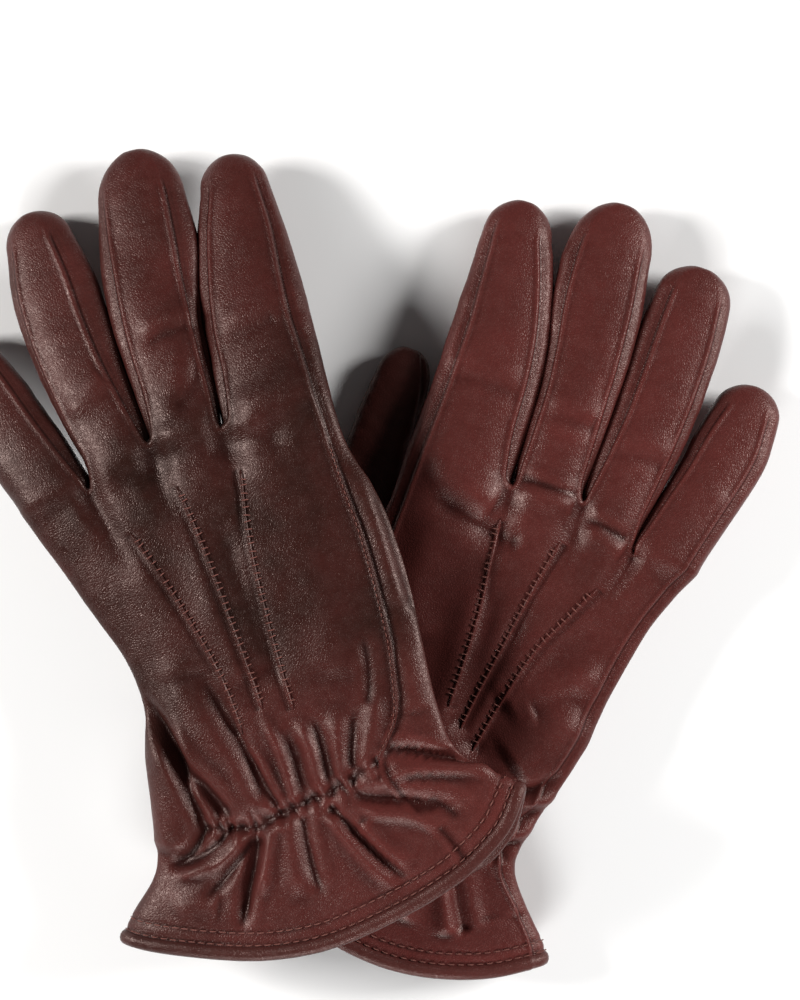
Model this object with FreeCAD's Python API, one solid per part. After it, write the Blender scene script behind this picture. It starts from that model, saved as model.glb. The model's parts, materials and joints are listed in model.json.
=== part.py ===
"""A pair of lined leather dress gloves, the left one lying across the right one, backs up.

Each glove is built in its own frame: +v runs from the wrist to the fingertips, +u points to the
thumb side and +w out of the back of the hand, with w = 0 on the outer face of the palm.
Each glove is then placed on the table, and the whole pair is centred on the origin.
"""

import FreeCAD, Part
import math
import os

from FreeCAD import Vector

# Driving dimensions, in millimetres.
LEATHER = 1.0  # glove leather
LINING = 0.7  # knitted lining
ELASTIC = 0.7  # elastic tape, between the leather and the lining
PLAY = 0.15  # room between two layers
WRIST_V = 0.0  # the elastic tape's centre line
ELASTIC_WIDTH = 8.0
KNUCKLE_V = 112.0  # where the fingers leave the hand
KNUCKLE_GAP = 0.3
FINGER_PLAY = 0.75  # off each side of a finger, so that neighbours curl past one another
FINGER_HEIGHT = 14.0
THUMB_HEIGHT = 9.2
THUMB_CLEARANCE = 0.4  # between the thumb and the palm above it
THUMB_ROOT_RADIUS = 12.2
THUMB_HOLE_CLEARANCE = 0.3
FOURCHETTE_REACH = 4.2  # from a finger's edge to the seam on its back
HEM_WIDTH = 4.0  # the bound edge of the cuff
HEM_PROUD = 0.6  # how far the binding stands out of the leather
STITCH_PROUD = 0.5
STITCH_WIDTH = 0.8
STITCH_ROWS = (1.2, 4.6)  # the two rows of topstitching, above the binding
POINT_PROUD = 1.2  # the three raised points on the back
POINT_WIDTH = 1.8
SEAM_PROUD = 0.6
SEAM_INSET = 11.5  # the index seam's distance in from the glove's thumb edge
CORNER = 2.6  # exponent of the rounded sections
RING_POINTS = 16
LIFT = 120.0  # how far the upper glove lifts off

# Where the gloves lie: place on the table, turn about +Z, and tilt of the upper one.
RIGHT_AT, RIGHT_TURN = (5.4, -90.2), -17.5
LEFT_AT, LEFT_TURN = (-28.8, -73.6), 15.0
LEFT_ROLL, LEFT_PITCH = -9.0, -2.6
RIGHT_PALM_Z = THUMB_HEIGHT + THUMB_CLEARANCE
LEFT_PALM_Z = 29.8

# Hand outline: (v, thumb-side edge, little-side edge, underside, thickness).
HAND = {
    "left": [
        (-62, 69, -74, -7.0, 18.0),
        (-42, 67, -72, -6.5, 17.2),
        (-24, 62, -66, -5.0, 15.4),
        (-6, 52, -51, -2.5, 13.2),
        (14, 48, -46, -0.8, 12.6),
        (45, 49, -45, 0.0, 13.0),
        (80, 47.5, -55, 0.0, 13.0),
        (KNUCKLE_V, 41.2, -66.8, 0.0, 13.0),
        (132, 40, -74, 0.0, 13.0),
    ],
    "right": [
        (-55, 57, -56, -9.6, 20.0),
        (-35, 55, -54, -9.2, 19.6),
        (-15, 46, -44, -6.5, 16.8),
        (0, 39, -33, -4.0, 15.0),
        (20, 42, -36, -1.2, 13.6),
        (48, 45, -42, 0.0, 13.0),
        (80, 44.5, -50, 0.0, 13.0),
        (KNUCKLE_V, 41.6, -60.4, 0.0, 13.0),
        (132, 40, -66, 0.0, 13.0),
    ],
}
# The hem's arc in plan: centre and radius.
HEM_ARC = {"left": ((-9.3, 45.0), 96.0), "right": ((-2.0, 43.4), 85.2)}
HEM_HALF_ANGLE = 70.0

# Finger outlines: [(v, thumb-side edge, little-side edge), ...], the tip's (v, u), and the drop.
FINGERS = {
    "left": {
        "index": (
            [(112, 40.6, 5.6), (135, 40.2, 5.6), (155, 39.8, 6.8), (175, 38.9, 10.4), (192, 36.8, 15.6)],
            (204, 26.5),
            21.0,
        ),
        "middle": (
            [(112, 4.6, -17.4), (135, 4.6, -19.3), (155, 5.8, -21.4), (175, 9.4, -22.6), (196, 10.4, -18.0)],
            (214, -2.0),
            19.0,
        ),
        "ring": (
            [(112, -18.4, -40.2), (135, -20.3, -46.5), (155, -22.4, -51.0), (175, -24.8, -52.6), (192, -30.0, -52.0)],
            (203, -41.0),
            15.0,
        ),
        "little": (
            [(112, -41.2, -66.6), (126, -47.5, -72.5), (140, -52.6, -78.0), (152, -57.2, -81.6), (162, -63.0, -82.5)],
            (171, -73.5),
            10.0,
        ),
    },
    "right": {
        "index": (
            [(112, 41.0, 6.6), (135, 39.6, 6.6), (155, 38.8, 7.4), (175, 38.8, 10.6), (193, 36.8, 16.2)],
            (206, 27.0),
            8.6,
        ),
        "middle": (
            [(112, 5.6, -15.8), (135, 5.6, -16.8), (155, 6.4, -17.8), (175, 9.6, -18.6), (198, 11.0, -15.8)],
            (215, -2.5),
            8.6,
        ),
        "ring": (
            [(112, -16.8, -36.0), (135, -17.8, -40.6), (155, -18.8, -43.8), (175, -19.6, -45.2), (192, -22.6, -43.6)],
            (203, -32.5),
            8.6,
        ),
        "little": (
            [(112, -37.0, -60.0), (126, -41.6, -64.0), (140, -45.0, -67.6), (152, -46.2, -70.6), (163, -50.0, -69.4)],
            (171.5, -60.0),
            8.6,
        ),
    },
}
# The thumb's middle line in plan, from its root to its tip, with its half width at each point.
THUMB_ROOT = (28.0, 42.0)
THUMBS = {
    "left": [(28, 42, 13.0), (20, 66, 13.0), (11, 86, 11.5), (5, 101, 8.6)],
    "right": [(28, 42, 13.0), (38, 74, 12.2), (48.6, 98, 10.0), (50.9, 118, 9.2), (50.6, 138, 7.8)],
}
THUMB_TIP_REACH = 11.0
THUMB_SWING = {"left": 35.0, "right": 20.0}
CURL = 70.0

# The three raised points on the back: each from (u, v) near the knuckles to (u, v) above the wrist.
POINTS = {
    "left": [((-33.0, 93.0), (-15.2, 23.5)), ((-15.0, 103.0), (-6.8, 29.5)), ((5.6, 104.0), (2.8, 27.0))],
    "right": [((-30.5, 95.0), (-8.0, 33.0)), ((-14.7, 105.0), (-2.6, 38.5)), ((5.8, 107.0), (3.8, 44.0))],
}
SIDES = {"left": 1.0, "right": -1.0}
FAR = 400.0
MEASURE_TOLERANCE = 0.1  # how closely the pair is measured before it is centred


def section_ring(centre, across, up, half_width, half_height):
    """A closed rounded section, on the plane of across and up."""
    points = []
    for i in range(RING_POINTS):
        angle = 2 * math.pi * (i + 0.5) / RING_POINTS - math.pi / 2
        c, s = math.cos(angle), math.sin(angle)
        x = math.copysign(abs(c) ** (2 / CORNER), c) * half_width
        y = math.copysign(abs(s) ** (2 / CORNER), s) * half_height
        points.append(centre + across * x + up * y)
    curve = Part.BSplineCurve()
    curve.interpolate(Points=points, PeriodicFlag=True)
    return Part.Wire([curve.toShape()])


def tube(stations, inset):
    """A solid through rounded sections (centre, across, half width, half height), made smaller by inset."""
    up = Vector(0, 0, 1)
    rings = [
        section_ring(centre, across, up, half_width - inset, half_height - inset)
        for centre, across, half_width, half_height in stations
    ]
    return Part.makeLoft(rings, True)


def hand_stations(name):
    side = SIDES[name]
    stations = []
    for v, thumb_edge, little_edge, underside, thickness in HAND[name]:
        centre = Vector(side * (thumb_edge + little_edge) / 2, v, underside + thickness / 2)
        stations.append((centre, Vector(1, 0, 0), (thumb_edge - little_edge) / 2, thickness / 2))
    return stations


def finger_stations(name, finger, inset):
    """The finger's sections for one layer: its outline, then a rounded tip that keeps the layer's thickness."""
    side = SIDES[name]
    outline, (tip_v, tip_u), drop = FINGERS[name][finger]
    last_v, last_thumb, last_little = outline[-1]
    half, middle = (last_thumb - last_little) / 2, (last_thumb + last_little) / 2
    rows = [(v, (t + b) / 2, (t - b) / 2, 1.0) for v, t, b in outline]
    for share, keep in ((0.55, 0.86), (0.85, 0.58), (0.985, 0.28)):
        rows.append((last_v + (tip_v - inset - last_v) * share, middle + (tip_u - middle) * share, half * keep, keep))
    first = rows[0]
    rows.insert(0, (first[0] - 6.0, first[1], first[2], 1.0))
    stations = []
    for v, u, half_width, keep in rows:
        half_width = half_width - FINGER_PLAY
        share = max(0.0, (v - KNUCKLE_V) / (tip_v - KNUCKLE_V))
        half_height = (FINGER_HEIGHT / 2 - 1.2 * share) * (0.45 + 0.55 * keep)
        centre = Vector(side * u, v, FINGER_HEIGHT / 2 - drop * share)
        stations.append((centre, Vector(1, 0, 0), max(half_width, inset + 1.2), max(half_height, inset + 1.2)))
    return stations


def thumb_stations(name, inset):
    """The thumb's sections, square to its middle line, with rounded ends."""
    side = SIDES[name]
    line = [(side * u, v, half) for u, v, half in THUMBS[name]]
    height = -THUMB_CLEARANCE - THUMB_HEIGHT / 2
    stations = []
    (u0, v0, first_half), (u1, v1, _) = line[0], line[1]
    along = Vector(u1 - u0, v1 - v0, 0).normalize()
    for back, keep in ((0.97, 0.3), (0.75, 0.66)):
        centre = Vector(u0, v0, height) - along * (first_half - inset) * back
        stations.append((centre, Vector(along.y, -along.x, 0), first_half * keep, THUMB_HEIGHT / 2 * (0.5 + keep / 2)))
    for i, (u, v, half) in enumerate(line):
        before, after = line[max(i - 1, 0)], line[min(i + 1, len(line) - 1)]
        along = Vector(after[0] - before[0], after[1] - before[1], 0).normalize()
        stations.append((Vector(u, v, height), Vector(along.y, -along.x, 0), half, THUMB_HEIGHT / 2))
    for share, keep in ((0.6, 0.78), (0.95, 0.36)):
        centre = Vector(u, v, height) + along * (THUMB_TIP_REACH - inset) * share
        stations.append((centre, Vector(along.y, -along.x, 0), half * keep, THUMB_HEIGHT / 2 * (0.5 + keep / 2)))
    return [(c, a, max(w, inset + 0.9), max(h, inset + 0.9)) for c, a, w, h in stations]


def slab(low, high):
    """A box between two corners."""
    return Part.makeBox(high[0] - low[0], high[1] - low[1], high[2] - low[2], Vector(*low))


def hem_zone(name, near, far):
    """The space between two arcs that follow the hem, near and far millimetres above it."""
    (u, v), radius = HEM_ARC[name]
    centre = Vector(SIDES[name] * u, v, -FAR / 2)

    def at(r, degrees):
        angle = math.radians(degrees)
        return centre + Vector(r * math.sin(angle), -r * math.cos(angle), 0)

    outer, inner = radius - near, radius - far
    edges = [
        Part.Arc(at(outer, -HEM_HALF_ANGLE), at(outer, 0), at(outer, HEM_HALF_ANGLE)).toShape(),
        Part.LineSegment(at(outer, HEM_HALF_ANGLE), at(inner, HEM_HALF_ANGLE)).toShape(),
        Part.Arc(at(inner, HEM_HALF_ANGLE), at(inner, 0), at(inner, -HEM_HALF_ANGLE)).toShape(),
        Part.LineSegment(at(inner, -HEM_HALF_ANGLE), at(outer, -HEM_HALF_ANGLE)).toShape(),
    ]
    return Part.Face(Part.Wire(edges)).extrude(Vector(0, 0, FAR))


def inside_hem(name, above):
    """The space on the hand's side of the hem's arc."""
    (u, v), radius = HEM_ARC[name]
    centre = Vector(SIDES[name] * u, v, -FAR / 2)
    round_part = Part.makeCylinder(radius - above, FAR, centre)
    return round_part.fuse(slab((-FAR, 0.0, -FAR), (FAR, FAR, FAR)))


def above_middle(name, upper=True):
    """The space above, or below, the surface through the middles of the hand's sections."""
    line = [Vector(-FAR, v, low + high / 2) for v, _, _, low, high in HAND[name]]
    edge = FAR if upper else -FAR
    corners = [Vector(-FAR, line[0].y, edge), *line, Vector(-FAR, line[-1].y, edge)]
    return Part.Face(Part.makePolygon([*corners, corners[0]])).extrude(Vector(2 * FAR, 0, 0))


def seam_side(name):
    """The strip of the palm's leather that wraps over the thumb edge, as far as the index seam."""
    side = SIDES[name]
    line = [Vector(side * (t - SEAM_INSET), v, -FAR) for v, t, _, _, _ in HAND[name]]
    corners = [Vector(side * FAR, line[0].y, -FAR), *line, Vector(side * FAR, line[-1].y, -FAR)]
    return Part.Face(Part.makePolygon([*corners, corners[0]])).extrude(Vector(0, 0, 2 * FAR))


def thin_wall(start, end, width, side):
    """A tall thin wall along a line in plan."""
    a, b = Vector(side * start[0], start[1], 0), Vector(side * end[0], end[1], 0)
    along = b - a
    wall = slab((-width / 2, 0, 0), (width / 2, along.Length, FAR))
    turn = math.degrees(math.atan2(-along.x, along.y))
    wall.Placement = FreeCAD.Placement(a, FreeCAD.Rotation(Vector(0, 0, 1), turn))
    return wall


def hand_nodes(name):
    """The hand's leather panels, lining, elastic tape, binding and stitching."""
    side = SIDES[name]
    stations = hand_stations(name)
    below_knuckles = slab((-FAR, -FAR, -FAR), (FAR, KNUCKLE_V, FAR))
    outer, leather_inner = tube(stations, 0.0), tube(stations, LEATHER)
    lining_inset = LEATHER + ELASTIC + 2 * PLAY
    skin = outer.cut(leather_inner).common(below_knuckles).common(inside_hem(name, HEM_WIDTH))
    upper, wrap = above_middle(name), seam_side(name)
    u, v = THUMB_ROOT
    hole_at = Vector(side * u, v, -FAR)
    hole = Part.makeCylinder(THUMB_ROOT_RADIUS + THUMB_HOLE_CLEARANCE, FAR + LEATHER + 2.0, hole_at)
    back = skin.common(upper).cut(wrap)
    palm = skin.cut(upper.cut(wrap)).cut(hole)
    lining = tube(stations, lining_inset).cut(tube(stations, lining_inset + LINING))
    lining = lining.common(below_knuckles).common(inside_hem(name, HEM_WIDTH)).cut(hole.translated(Vector(0, 0, 3)))
    tape_zone = slab((-34, WRIST_V - ELASTIC_WIDTH / 2, -FAR), (34, WRIST_V + ELASTIC_WIDTH / 2, FAR))
    tape = tube(stations, LEATHER + PLAY).cut(tube(stations, LEATHER + PLAY + ELASTIC))
    tape = tape.common(upper).common(tape_zone)
    binding = tube(stations, -HEM_PROUD).cut(tube(stations, lining_inset + LINING))
    binding = binding.common(hem_zone(name, 0.0, HEM_WIDTH))
    proud = tube(stations, -STITCH_PROUD).cut(outer)
    rows = [
        proud.common(hem_zone(name, HEM_WIDTH + row, HEM_WIDTH + row + STITCH_WIDTH)) for row in STITCH_ROWS
    ]
    ridge = tube(stations, -POINT_PROUD).cut(outer).common(upper)
    points = [ridge.common(thin_wall(a, b, POINT_WIDTH, side)) for a, b in POINTS[name]]
    seam_line = [(t - SEAM_INSET, v) for v, t, _, _, _ in HAND[name]]
    seam_skin = tube(stations, -SEAM_PROUD).cut(outer).common(upper)
    seam_ends = zip(seam_line[4:-2], seam_line[5:-1])
    seam = [seam_skin.common(thin_wall(a, b, STITCH_WIDTH, side)) for a, b in seam_ends]
    return {
        "back_panel": back,
        "palm_panel": palm,
        "hand_lining": lining,
        "wrist_elastic": tape,
        "hem_binding": binding,
        "hem_topstitching": Part.makeCompound(rows),
        "raised_points": Part.makeCompound(points),
        "index_side_seam": Part.makeCompound([seam[0].multiFuse(seam[1:])]),
    }


def finger_nodes(name, finger):
    """A finger's back and palm strips, the fourchettes between them, and its lining."""
    side = SIDES[name]
    outline, (tip_v, tip_u), drop = FINGERS[name][finger]
    open_end = slab((-FAR, KNUCKLE_V + KNUCKLE_GAP, -FAR), (FAR, FAR, FAR))
    outer = tube(finger_stations(name, finger, 0.0), 0.0)
    skin = outer.cut(tube(finger_stations(name, finger, LEATHER), LEATHER)).common(open_end)
    lining_inset = LEATHER + PLAY
    lining = tube(finger_stations(name, finger, lining_inset), lining_inset)
    lining = lining.cut(tube(finger_stations(name, finger, lining_inset + LINING), lining_inset + LINING))
    middle = [(KNUCKLE_V - 1, FINGER_HEIGHT / 2), (tip_v + 5, FINGER_HEIGHT / 2 - drop * 1.05)]
    corners = [Vector(-FAR, v, w) for v, w in (*middle, (tip_v + 5, FAR), (KNUCKLE_V - 1, FAR))]
    upper = Part.Face(Part.makePolygon([*corners, corners[0]])).extrude(Vector(2 * FAR, 0, 0))

    def beyond(edge, sign, reach):
        """The space outside a line that runs reach inside the finger's edge, and on to its tip."""
        line = [(outline[0][0] - 1, outline[0][edge])] + [(row[0], row[edge]) for row in outline]
        line = [Vector(side * (u - sign * reach), v, -FAR) for v, u in line]
        end = Vector(side * (tip_u + sign * 3.0), tip_v + 2.0, -FAR)
        far_low = Vector(side * sign * FAR, line[0].y, -FAR)
        far_high = Vector(side * sign * FAR, end.y, -FAR)
        loop = [far_low, *line, end, far_high]
        return Part.Face(Part.makePolygon([*loop, loop[0]])).extrude(Vector(0, 0, 2 * FAR))

    made = {"lining": lining.common(open_end)}
    if finger == "index":
        wrap = beyond(1, 1.0, SEAM_INSET * 0.4)
        made["back"] = skin.common(upper).cut(wrap)
        made["palm"] = skin.cut(upper.cut(wrap))
    else:
        gusset = beyond(1, 1.0, FOURCHETTE_REACH)
        made["back"] = skin.common(upper).cut(gusset)
        made["palm"] = skin.cut(upper).cut(gusset)
        made["thumb_side_fourchette"] = skin.common(gusset)
    if finger != "little":
        gusset = beyond(2, -1.0, FOURCHETTE_REACH)
        made["little_side_fourchette"] = skin.common(gusset)
        made["back"] = made["back"].cut(gusset)
        made["palm"] = made["palm"].cut(gusset)
    return {f"{finger}_{piece}": shape for piece, shape in made.items()}


def thumb_nodes(name):
    """The thumb's leather, in two halves, and its lining: a flat tube whose round root turns in the palm."""
    side = SIDES[name]
    u, v = THUMB_ROOT
    middle = Vector(side * u, v, -THUMB_CLEARANCE - THUMB_HEIGHT / 2)

    def layer(inset, top):
        flat = tube(thumb_stations(name, inset), inset)
        root = Part.makeCylinder(THUMB_ROOT_RADIUS - inset, top - middle.z, middle)
        return flat.fuse(root)

    lining_inset = LEATHER + PLAY
    leather = layer(0.0, LEATHER).cut(layer(LEATHER, LEATHER + 5.0))
    lower = slab((-FAR, -FAR, middle.z - FAR), (FAR, FAR, middle.z))
    lining = layer(lining_inset, LEATHER).cut(layer(lining_inset + LINING, LEATHER + 5.0))
    return {"thumb_inner": leather.cut(lower), "thumb_outer": leather.common(lower), "thumb_lining": lining}


def glove(name):
    """Every node of one glove, on the table."""
    nodes = {**hand_nodes(name), **thumb_nodes(name)}
    for finger in FINGERS[name]:
        nodes.update(finger_nodes(name, finger))
    place = placement(name)
    for node, shape in nodes.items():
        shape.Placement = place.multiply(shape.Placement)
    return {f"{name}_{node}": shape for node, shape in nodes.items()}


def placement(name):
    """Where a glove's own frame stands on the table."""
    if name == "right":
        x, y = RIGHT_AT
        return FreeCAD.Placement(Vector(x, y, RIGHT_PALM_Z), FreeCAD.Rotation(Vector(0, 0, 1), RIGHT_TURN))
    x, y = LEFT_AT
    turn = FreeCAD.Rotation(Vector(0, 0, 1), LEFT_TURN)
    roll = FreeCAD.Rotation(Vector(0, 1, 0), LEFT_ROLL)
    pitch = FreeCAD.Rotation(Vector(1, 0, 0), LEFT_PITCH)
    return FreeCAD.Placement(Vector(x, y, LEFT_PALM_Z), turn.multiply(roll).multiply(pitch))


def build():
    """All nodes of the pair, centred on the origin and standing on z = 0, and the shift that did it."""
    nodes = {**glove("left"), **glove("right")}
    box = FreeCAD.BoundBox()
    for shape in nodes.values():
        for point in shape.tessellate(MEASURE_TOLERANCE)[0]:
            box.add(point)
    shift = Vector(-box.Center.x, -box.Center.y, -box.ZMin)
    for shape in nodes.values():
        shape.translate(shift)
    return nodes, shift


def main():
    os.makedirs("parts", exist_ok=True)
    nodes, shift = build()
    for node, shape in nodes.items():
        solids = Part.makeCompound(shape.Solids)
        solids.exportStep(f"parts/{node}.step")
        print(f"{node}: {len(shape.Solids)} solids, {solids.Volume:.0f} mm3, valid {solids.isValid()}")
    print("moved by", [round(x, 3) for x in shift])


main()
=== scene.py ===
"""A pair of lined leather dress gloves, the left one lying across the right one, backs up.

Every glove is shaped in its own frame, in millimetres, as in the CAD model: u runs to the thumb side,
v to the fingertips and w out of the back of the hand. One closed cage per glove holds the hand and the
four fingers. It is subdivided, its folds and seams are sculpted, and it is cut into the leather pieces.
"""

import json
import math

import bpy
import numpy as np
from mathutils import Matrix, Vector, noise
from mathutils.bvhtree import BVHTree
from mathutils.kdtree import KDTree


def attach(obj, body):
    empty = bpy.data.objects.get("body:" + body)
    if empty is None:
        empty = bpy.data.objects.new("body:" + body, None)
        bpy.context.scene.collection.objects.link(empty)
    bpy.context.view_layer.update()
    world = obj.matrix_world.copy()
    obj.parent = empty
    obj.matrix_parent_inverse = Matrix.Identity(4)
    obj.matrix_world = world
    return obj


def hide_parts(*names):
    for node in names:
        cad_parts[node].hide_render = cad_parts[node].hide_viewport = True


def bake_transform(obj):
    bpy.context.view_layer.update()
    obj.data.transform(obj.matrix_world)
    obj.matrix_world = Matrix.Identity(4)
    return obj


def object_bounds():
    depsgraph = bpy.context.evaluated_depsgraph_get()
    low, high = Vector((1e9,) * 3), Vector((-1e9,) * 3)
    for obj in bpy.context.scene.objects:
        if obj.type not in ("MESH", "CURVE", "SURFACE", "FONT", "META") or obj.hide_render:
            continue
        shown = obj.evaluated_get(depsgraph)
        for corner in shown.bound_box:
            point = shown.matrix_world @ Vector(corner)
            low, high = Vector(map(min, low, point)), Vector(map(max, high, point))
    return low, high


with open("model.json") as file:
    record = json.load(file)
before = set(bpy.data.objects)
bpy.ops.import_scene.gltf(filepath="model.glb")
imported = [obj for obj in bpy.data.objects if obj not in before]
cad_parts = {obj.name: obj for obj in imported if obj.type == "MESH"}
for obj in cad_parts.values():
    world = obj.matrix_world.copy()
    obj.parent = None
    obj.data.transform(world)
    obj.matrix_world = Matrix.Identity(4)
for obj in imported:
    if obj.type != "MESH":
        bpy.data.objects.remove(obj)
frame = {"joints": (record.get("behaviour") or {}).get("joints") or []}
CAD_LOW, CAD_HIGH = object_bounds()

MM = 0.001
SIDE = {"left": 1.0, "right": -1.0}
FINGERS = ("little", "ring", "middle", "index")
KNUCKLE_V = 112.0
STRIP = 8  # cage columns across one finger's back, or its palm
GUSSET = 6  # cage columns across a fourchette, or round the hand's edge
SMOOTH_LEVELS = 2

# Each glove's shape. edges: (v, u) of the hand's outline, seam: (v, u) of the index-side seam on the back,
# levels: (v, underside, thickness), crotches: (u, v) along the knuckle line, from the little side to the
# thumb side, and one entry per finger: rows of (v, thumb-side edge, little-side edge, thumb-side seam,
# little-side seam), the tip's (v, u) and how far the finger droops.
SHAPES = {
    "left": {
        "thumb_edge": [(-45, 72), (-20, 69.5), (-11, 65.5), (-4, 55.5), (3, 50), (13, 48.4), (33, 48.7),
                       (60, 49.1), (83, 47.2), (105, 41.0), (120, 39.8)],
        "little_edge": [(-50, -73), (-31, -70.5), (-23, -65), (-15, -56), (-3, -50.8), (22, -46),
                        (40, -43.6), (52, -44.4), (69, -51), (89, -59), (108, -66)],
        "seam": [(-50, 46), (-25, 39), (-8, 28.6), (5, 26), (17, 35), (31, 38.2), (46, 39.6), (70, 39.6),
                 (90, 37.6), (105, 36.4), (120, 36.2)],
        "levels": [(-56, -7, 18), (-42, -6.5, 17.2), (-24, -5, 15.4), (-6, -2.5, 13.2), (14, -0.8, 12.6),
                   (45, 0, 13), (90, 0, 13.2), (120, 0, 13.6)],
        "crotches": [(-66, 103), (-40.7, 111), (-18.3, 120.4), (4.6, 118.7), (40, 113)],
        "hem": [(-78, -26), (-69, -31.4), (-47.5, -40), (-23, -46.6), (-7, -47.8), (17, -44.4), (39, -38),
                (60.5, -26.6), (67.6, -14.8), (73, -5)],
        "lean": 0.165,
        "index": ([(120, 39.8, 5.0, 35.9, 7.4), (135, 39.9, 5.5, 35.4, 9.2), (150, 39.9, 5.7, 34.5, 9.6),
                   (165, 39.7, 7.9, 35.2, 11.8), (180, 38.9, 11.4, 36.0, 15.0),
                   (193, 37.4, 15.8, 35.2, 19.0)], (204.2, 27.0), 21.0),
        "middle": ([(121, 4.3, -18.4, 3.8, -17.9), (135, 4.7, -20.4, 3.8, -17.3),
                    (150, 4.9, -22.0, 3.5, -18.2), (165, 7.1, -22.9, 3.8, -18.1),
                    (180, 10.6, -21.6, 4.4, -17.5), (197, 10.2, -17.8, 5.2, -16.0)], (214.2, -2.4), 19.0),
        "ring": ([(118, -19.4, -40.6, -19.9, -40.2), (135, -21.2, -45.8, -24.6, -45.0),
                  (150, -22.9, -49.6, -28.4, -47.8), (165, -23.7, -52.0, -31.0, -49.8),
                  (180, -25.6, -52.6, -32.6, -50.2), (192, -29.2, -50.8, -34.6, -48.6)], (203, -41), 15.0),
        "little": ([(110, -41.2, -66.0, -41.8, -62.0), (126, -46.4, -72.5, -49.4, -68.4),
                    (140, -51.8, -78.0, -55.4, -73.8), (152, -57.0, -81.8, -60.4, -77.8),
                    (162, -62.8, -82.6, -65.6, -79.0)], (171, -73.6), 10.0),
        "thumb": [(28, 42, 13.2), (20, 66, 13.0), (11, 86, 11.5), (5, 101, 8.6)],
    },
    "right": {
        "thumb_edge": [(-45, 58), (-26, 56), (-16, 52), (-8, 43.5), (0, 38.5), (13, 40), (33, 43.6),
                       (60, 45.6), (83, 44.6), (100, 41.6), (118, 40.6)],
        "little_edge": [(-45, -54), (-28, -52), (-22, -50.5), (-12.5, -43.0), (0, -32.2), (9, -32.6),
                        (18.5, -35.2), (40, -41.6), (62, -45.3), (84, -50), (106, -58.2)],
        "seam": [(-50, 36), (-20, 26), (-8, 21), (5, 20), (17, 27), (31, 32), (60, 36), (91, 37.4),
                 (118, 36.3)],
        "levels": [(-56, -9.6, 20), (-35, -9.2, 19.6), (-15, -6.5, 16.8), (0, -4, 15), (20, -1.2, 13.6),
                   (48, 0, 13), (90, 0, 13.2), (120, 0, 13.6)],
        "crotches": [(-59, 100), (-36.3, 110), (-16.4, 120.8), (5.7, 118), (41, 112)],
        "hem": [(-60, -21), (-50, -26.6), (-36, -34.2), (-20, -39.2), (-4, -41.2), (13, -39.6),
                (30, -34.6), (46, -26.6), (58, -17.6)],
        "lean": 0.0,
        "index": ([(119, 40.5, 6.3, 36.3, 7.6), (135, 39.4, 6.2, 35.0, 10.0),
                   (150, 38.8, 6.3, 34.3, 10.4), (165, 38.7, 7.8, 34.1, 12.0),
                   (180, 38.8, 11.4, 34.9, 15.4), (195, 38.4, 16.8, 35.6, 20.2)], (206.6, 28.0), 8.6),
        "middle": ([(121, 5.3, -16.6, 4.9, -16.1), (135, 5.2, -17.4, 4.2, -16.0),
                    (150, 5.3, -18.2, 4.0, -15.9), (165, 6.9, -18.6, 5.2, -15.8),
                    (180, 10.4, -18.4, 7.0, -15.2), (198, 11.4, -15.6, 7.6, -13.2)], (215.2, -3.0), 8.6),
        "ring": ([(118, -17.3, -37.8, -17.7, -37.4), (135, -18.2, -41.6, -20.8, -39.8),
                  (150, -19.0, -43.8, -22.9, -41.4), (165, -19.5, -45.0, -23.9, -42.6),
                  (180, -19.4, -45.6, -24.5, -42.9), (192, -20.6, -45.0, -25.2, -42.0)], (203.2, -33), 8.6),
        "little": ([(110, -37.0, -59.6, -37.4, -56.2), (126, -41.0, -64.2, -42.4, -60.6),
                    (140, -44.6, -68.4, -46.8, -64.8), (152, -46.8, -71.0, -49.8, -67.4),
                    (162, -49.8, -71.0, -53.0, -67.4)], (171.6, -60.6), 8.6),
        "thumb": [(28, 42, 13.2), (38, 74, 12.8), (48.4, 98, 11.4), (50.0, 118, 10.6), (49.4, 139, 9.2)],
    },
}
INDEX_ROOT_U = {"left": 23.1, "right": 23.8}  # where the index finger's hinge lies on the knuckle line


def curve(table, at, column=1):
    """A smooth line through a table's points (Catmull-Rom), read at the places given."""
    rows = np.array(table, float)
    x, y = rows[:, 0], rows[:, column]
    slope = np.gradient(y, x)
    at = np.clip(np.asarray(at, float), x[0], x[-1])
    i = np.clip(np.searchsorted(x, at) - 1, 0, len(x) - 2)
    step = x[i + 1] - x[i]
    t = (at - x[i]) / step
    a, b = y[i], y[i + 1]
    ma, mb = slope[i] * step, slope[i + 1] * step
    return a + t * (ma + t * (3 * (b - a) - 2 * ma - mb + t * (ma + mb - 2 * (b - a))))


def ease(x, low, high):
    """0 below low, 1 above high, and smooth between."""
    t = np.clip((np.asarray(x, float) - low) / (high - low), 0, 1)
    return t * t * (3 - 2 * t)


def rounded(x, power):
    """The height of a rounded section of half width 1 and half height 1, at x."""
    return np.power(np.clip(1 - np.abs(x) ** power, 0, 1), 1 / power)


# ---------------------------------------------------------------- the cage

HAND_POWER = 2.4  # exponents of the rounded sections
PALM_POWER = 3.2
FINGER_POWER = 2.3
TIP_POWER = 2.05
HAND_ROWS = 40
FINGER_ROWS = 22
TIP_SHARES = (0.3, 0.55, 0.75, 0.89, 0.965)  # the rings that round a fingertip off
FINGER_HEIGHT = 14.0
LITTLE_SEAM_IN = 4.6  # from the hand's little edge to where its back ends
EDGE_STRIP = 1.6  # the first and last column of the back are this narrow, beside their seams
SETTLING = 12  # rounds in which a point settles onto both of its lines
WEB_SAG = 1.6  # how far the skin between two fingers dips towards the wrist


def hem_v(shape, u):
    return curve(shape["hem"], u)


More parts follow.
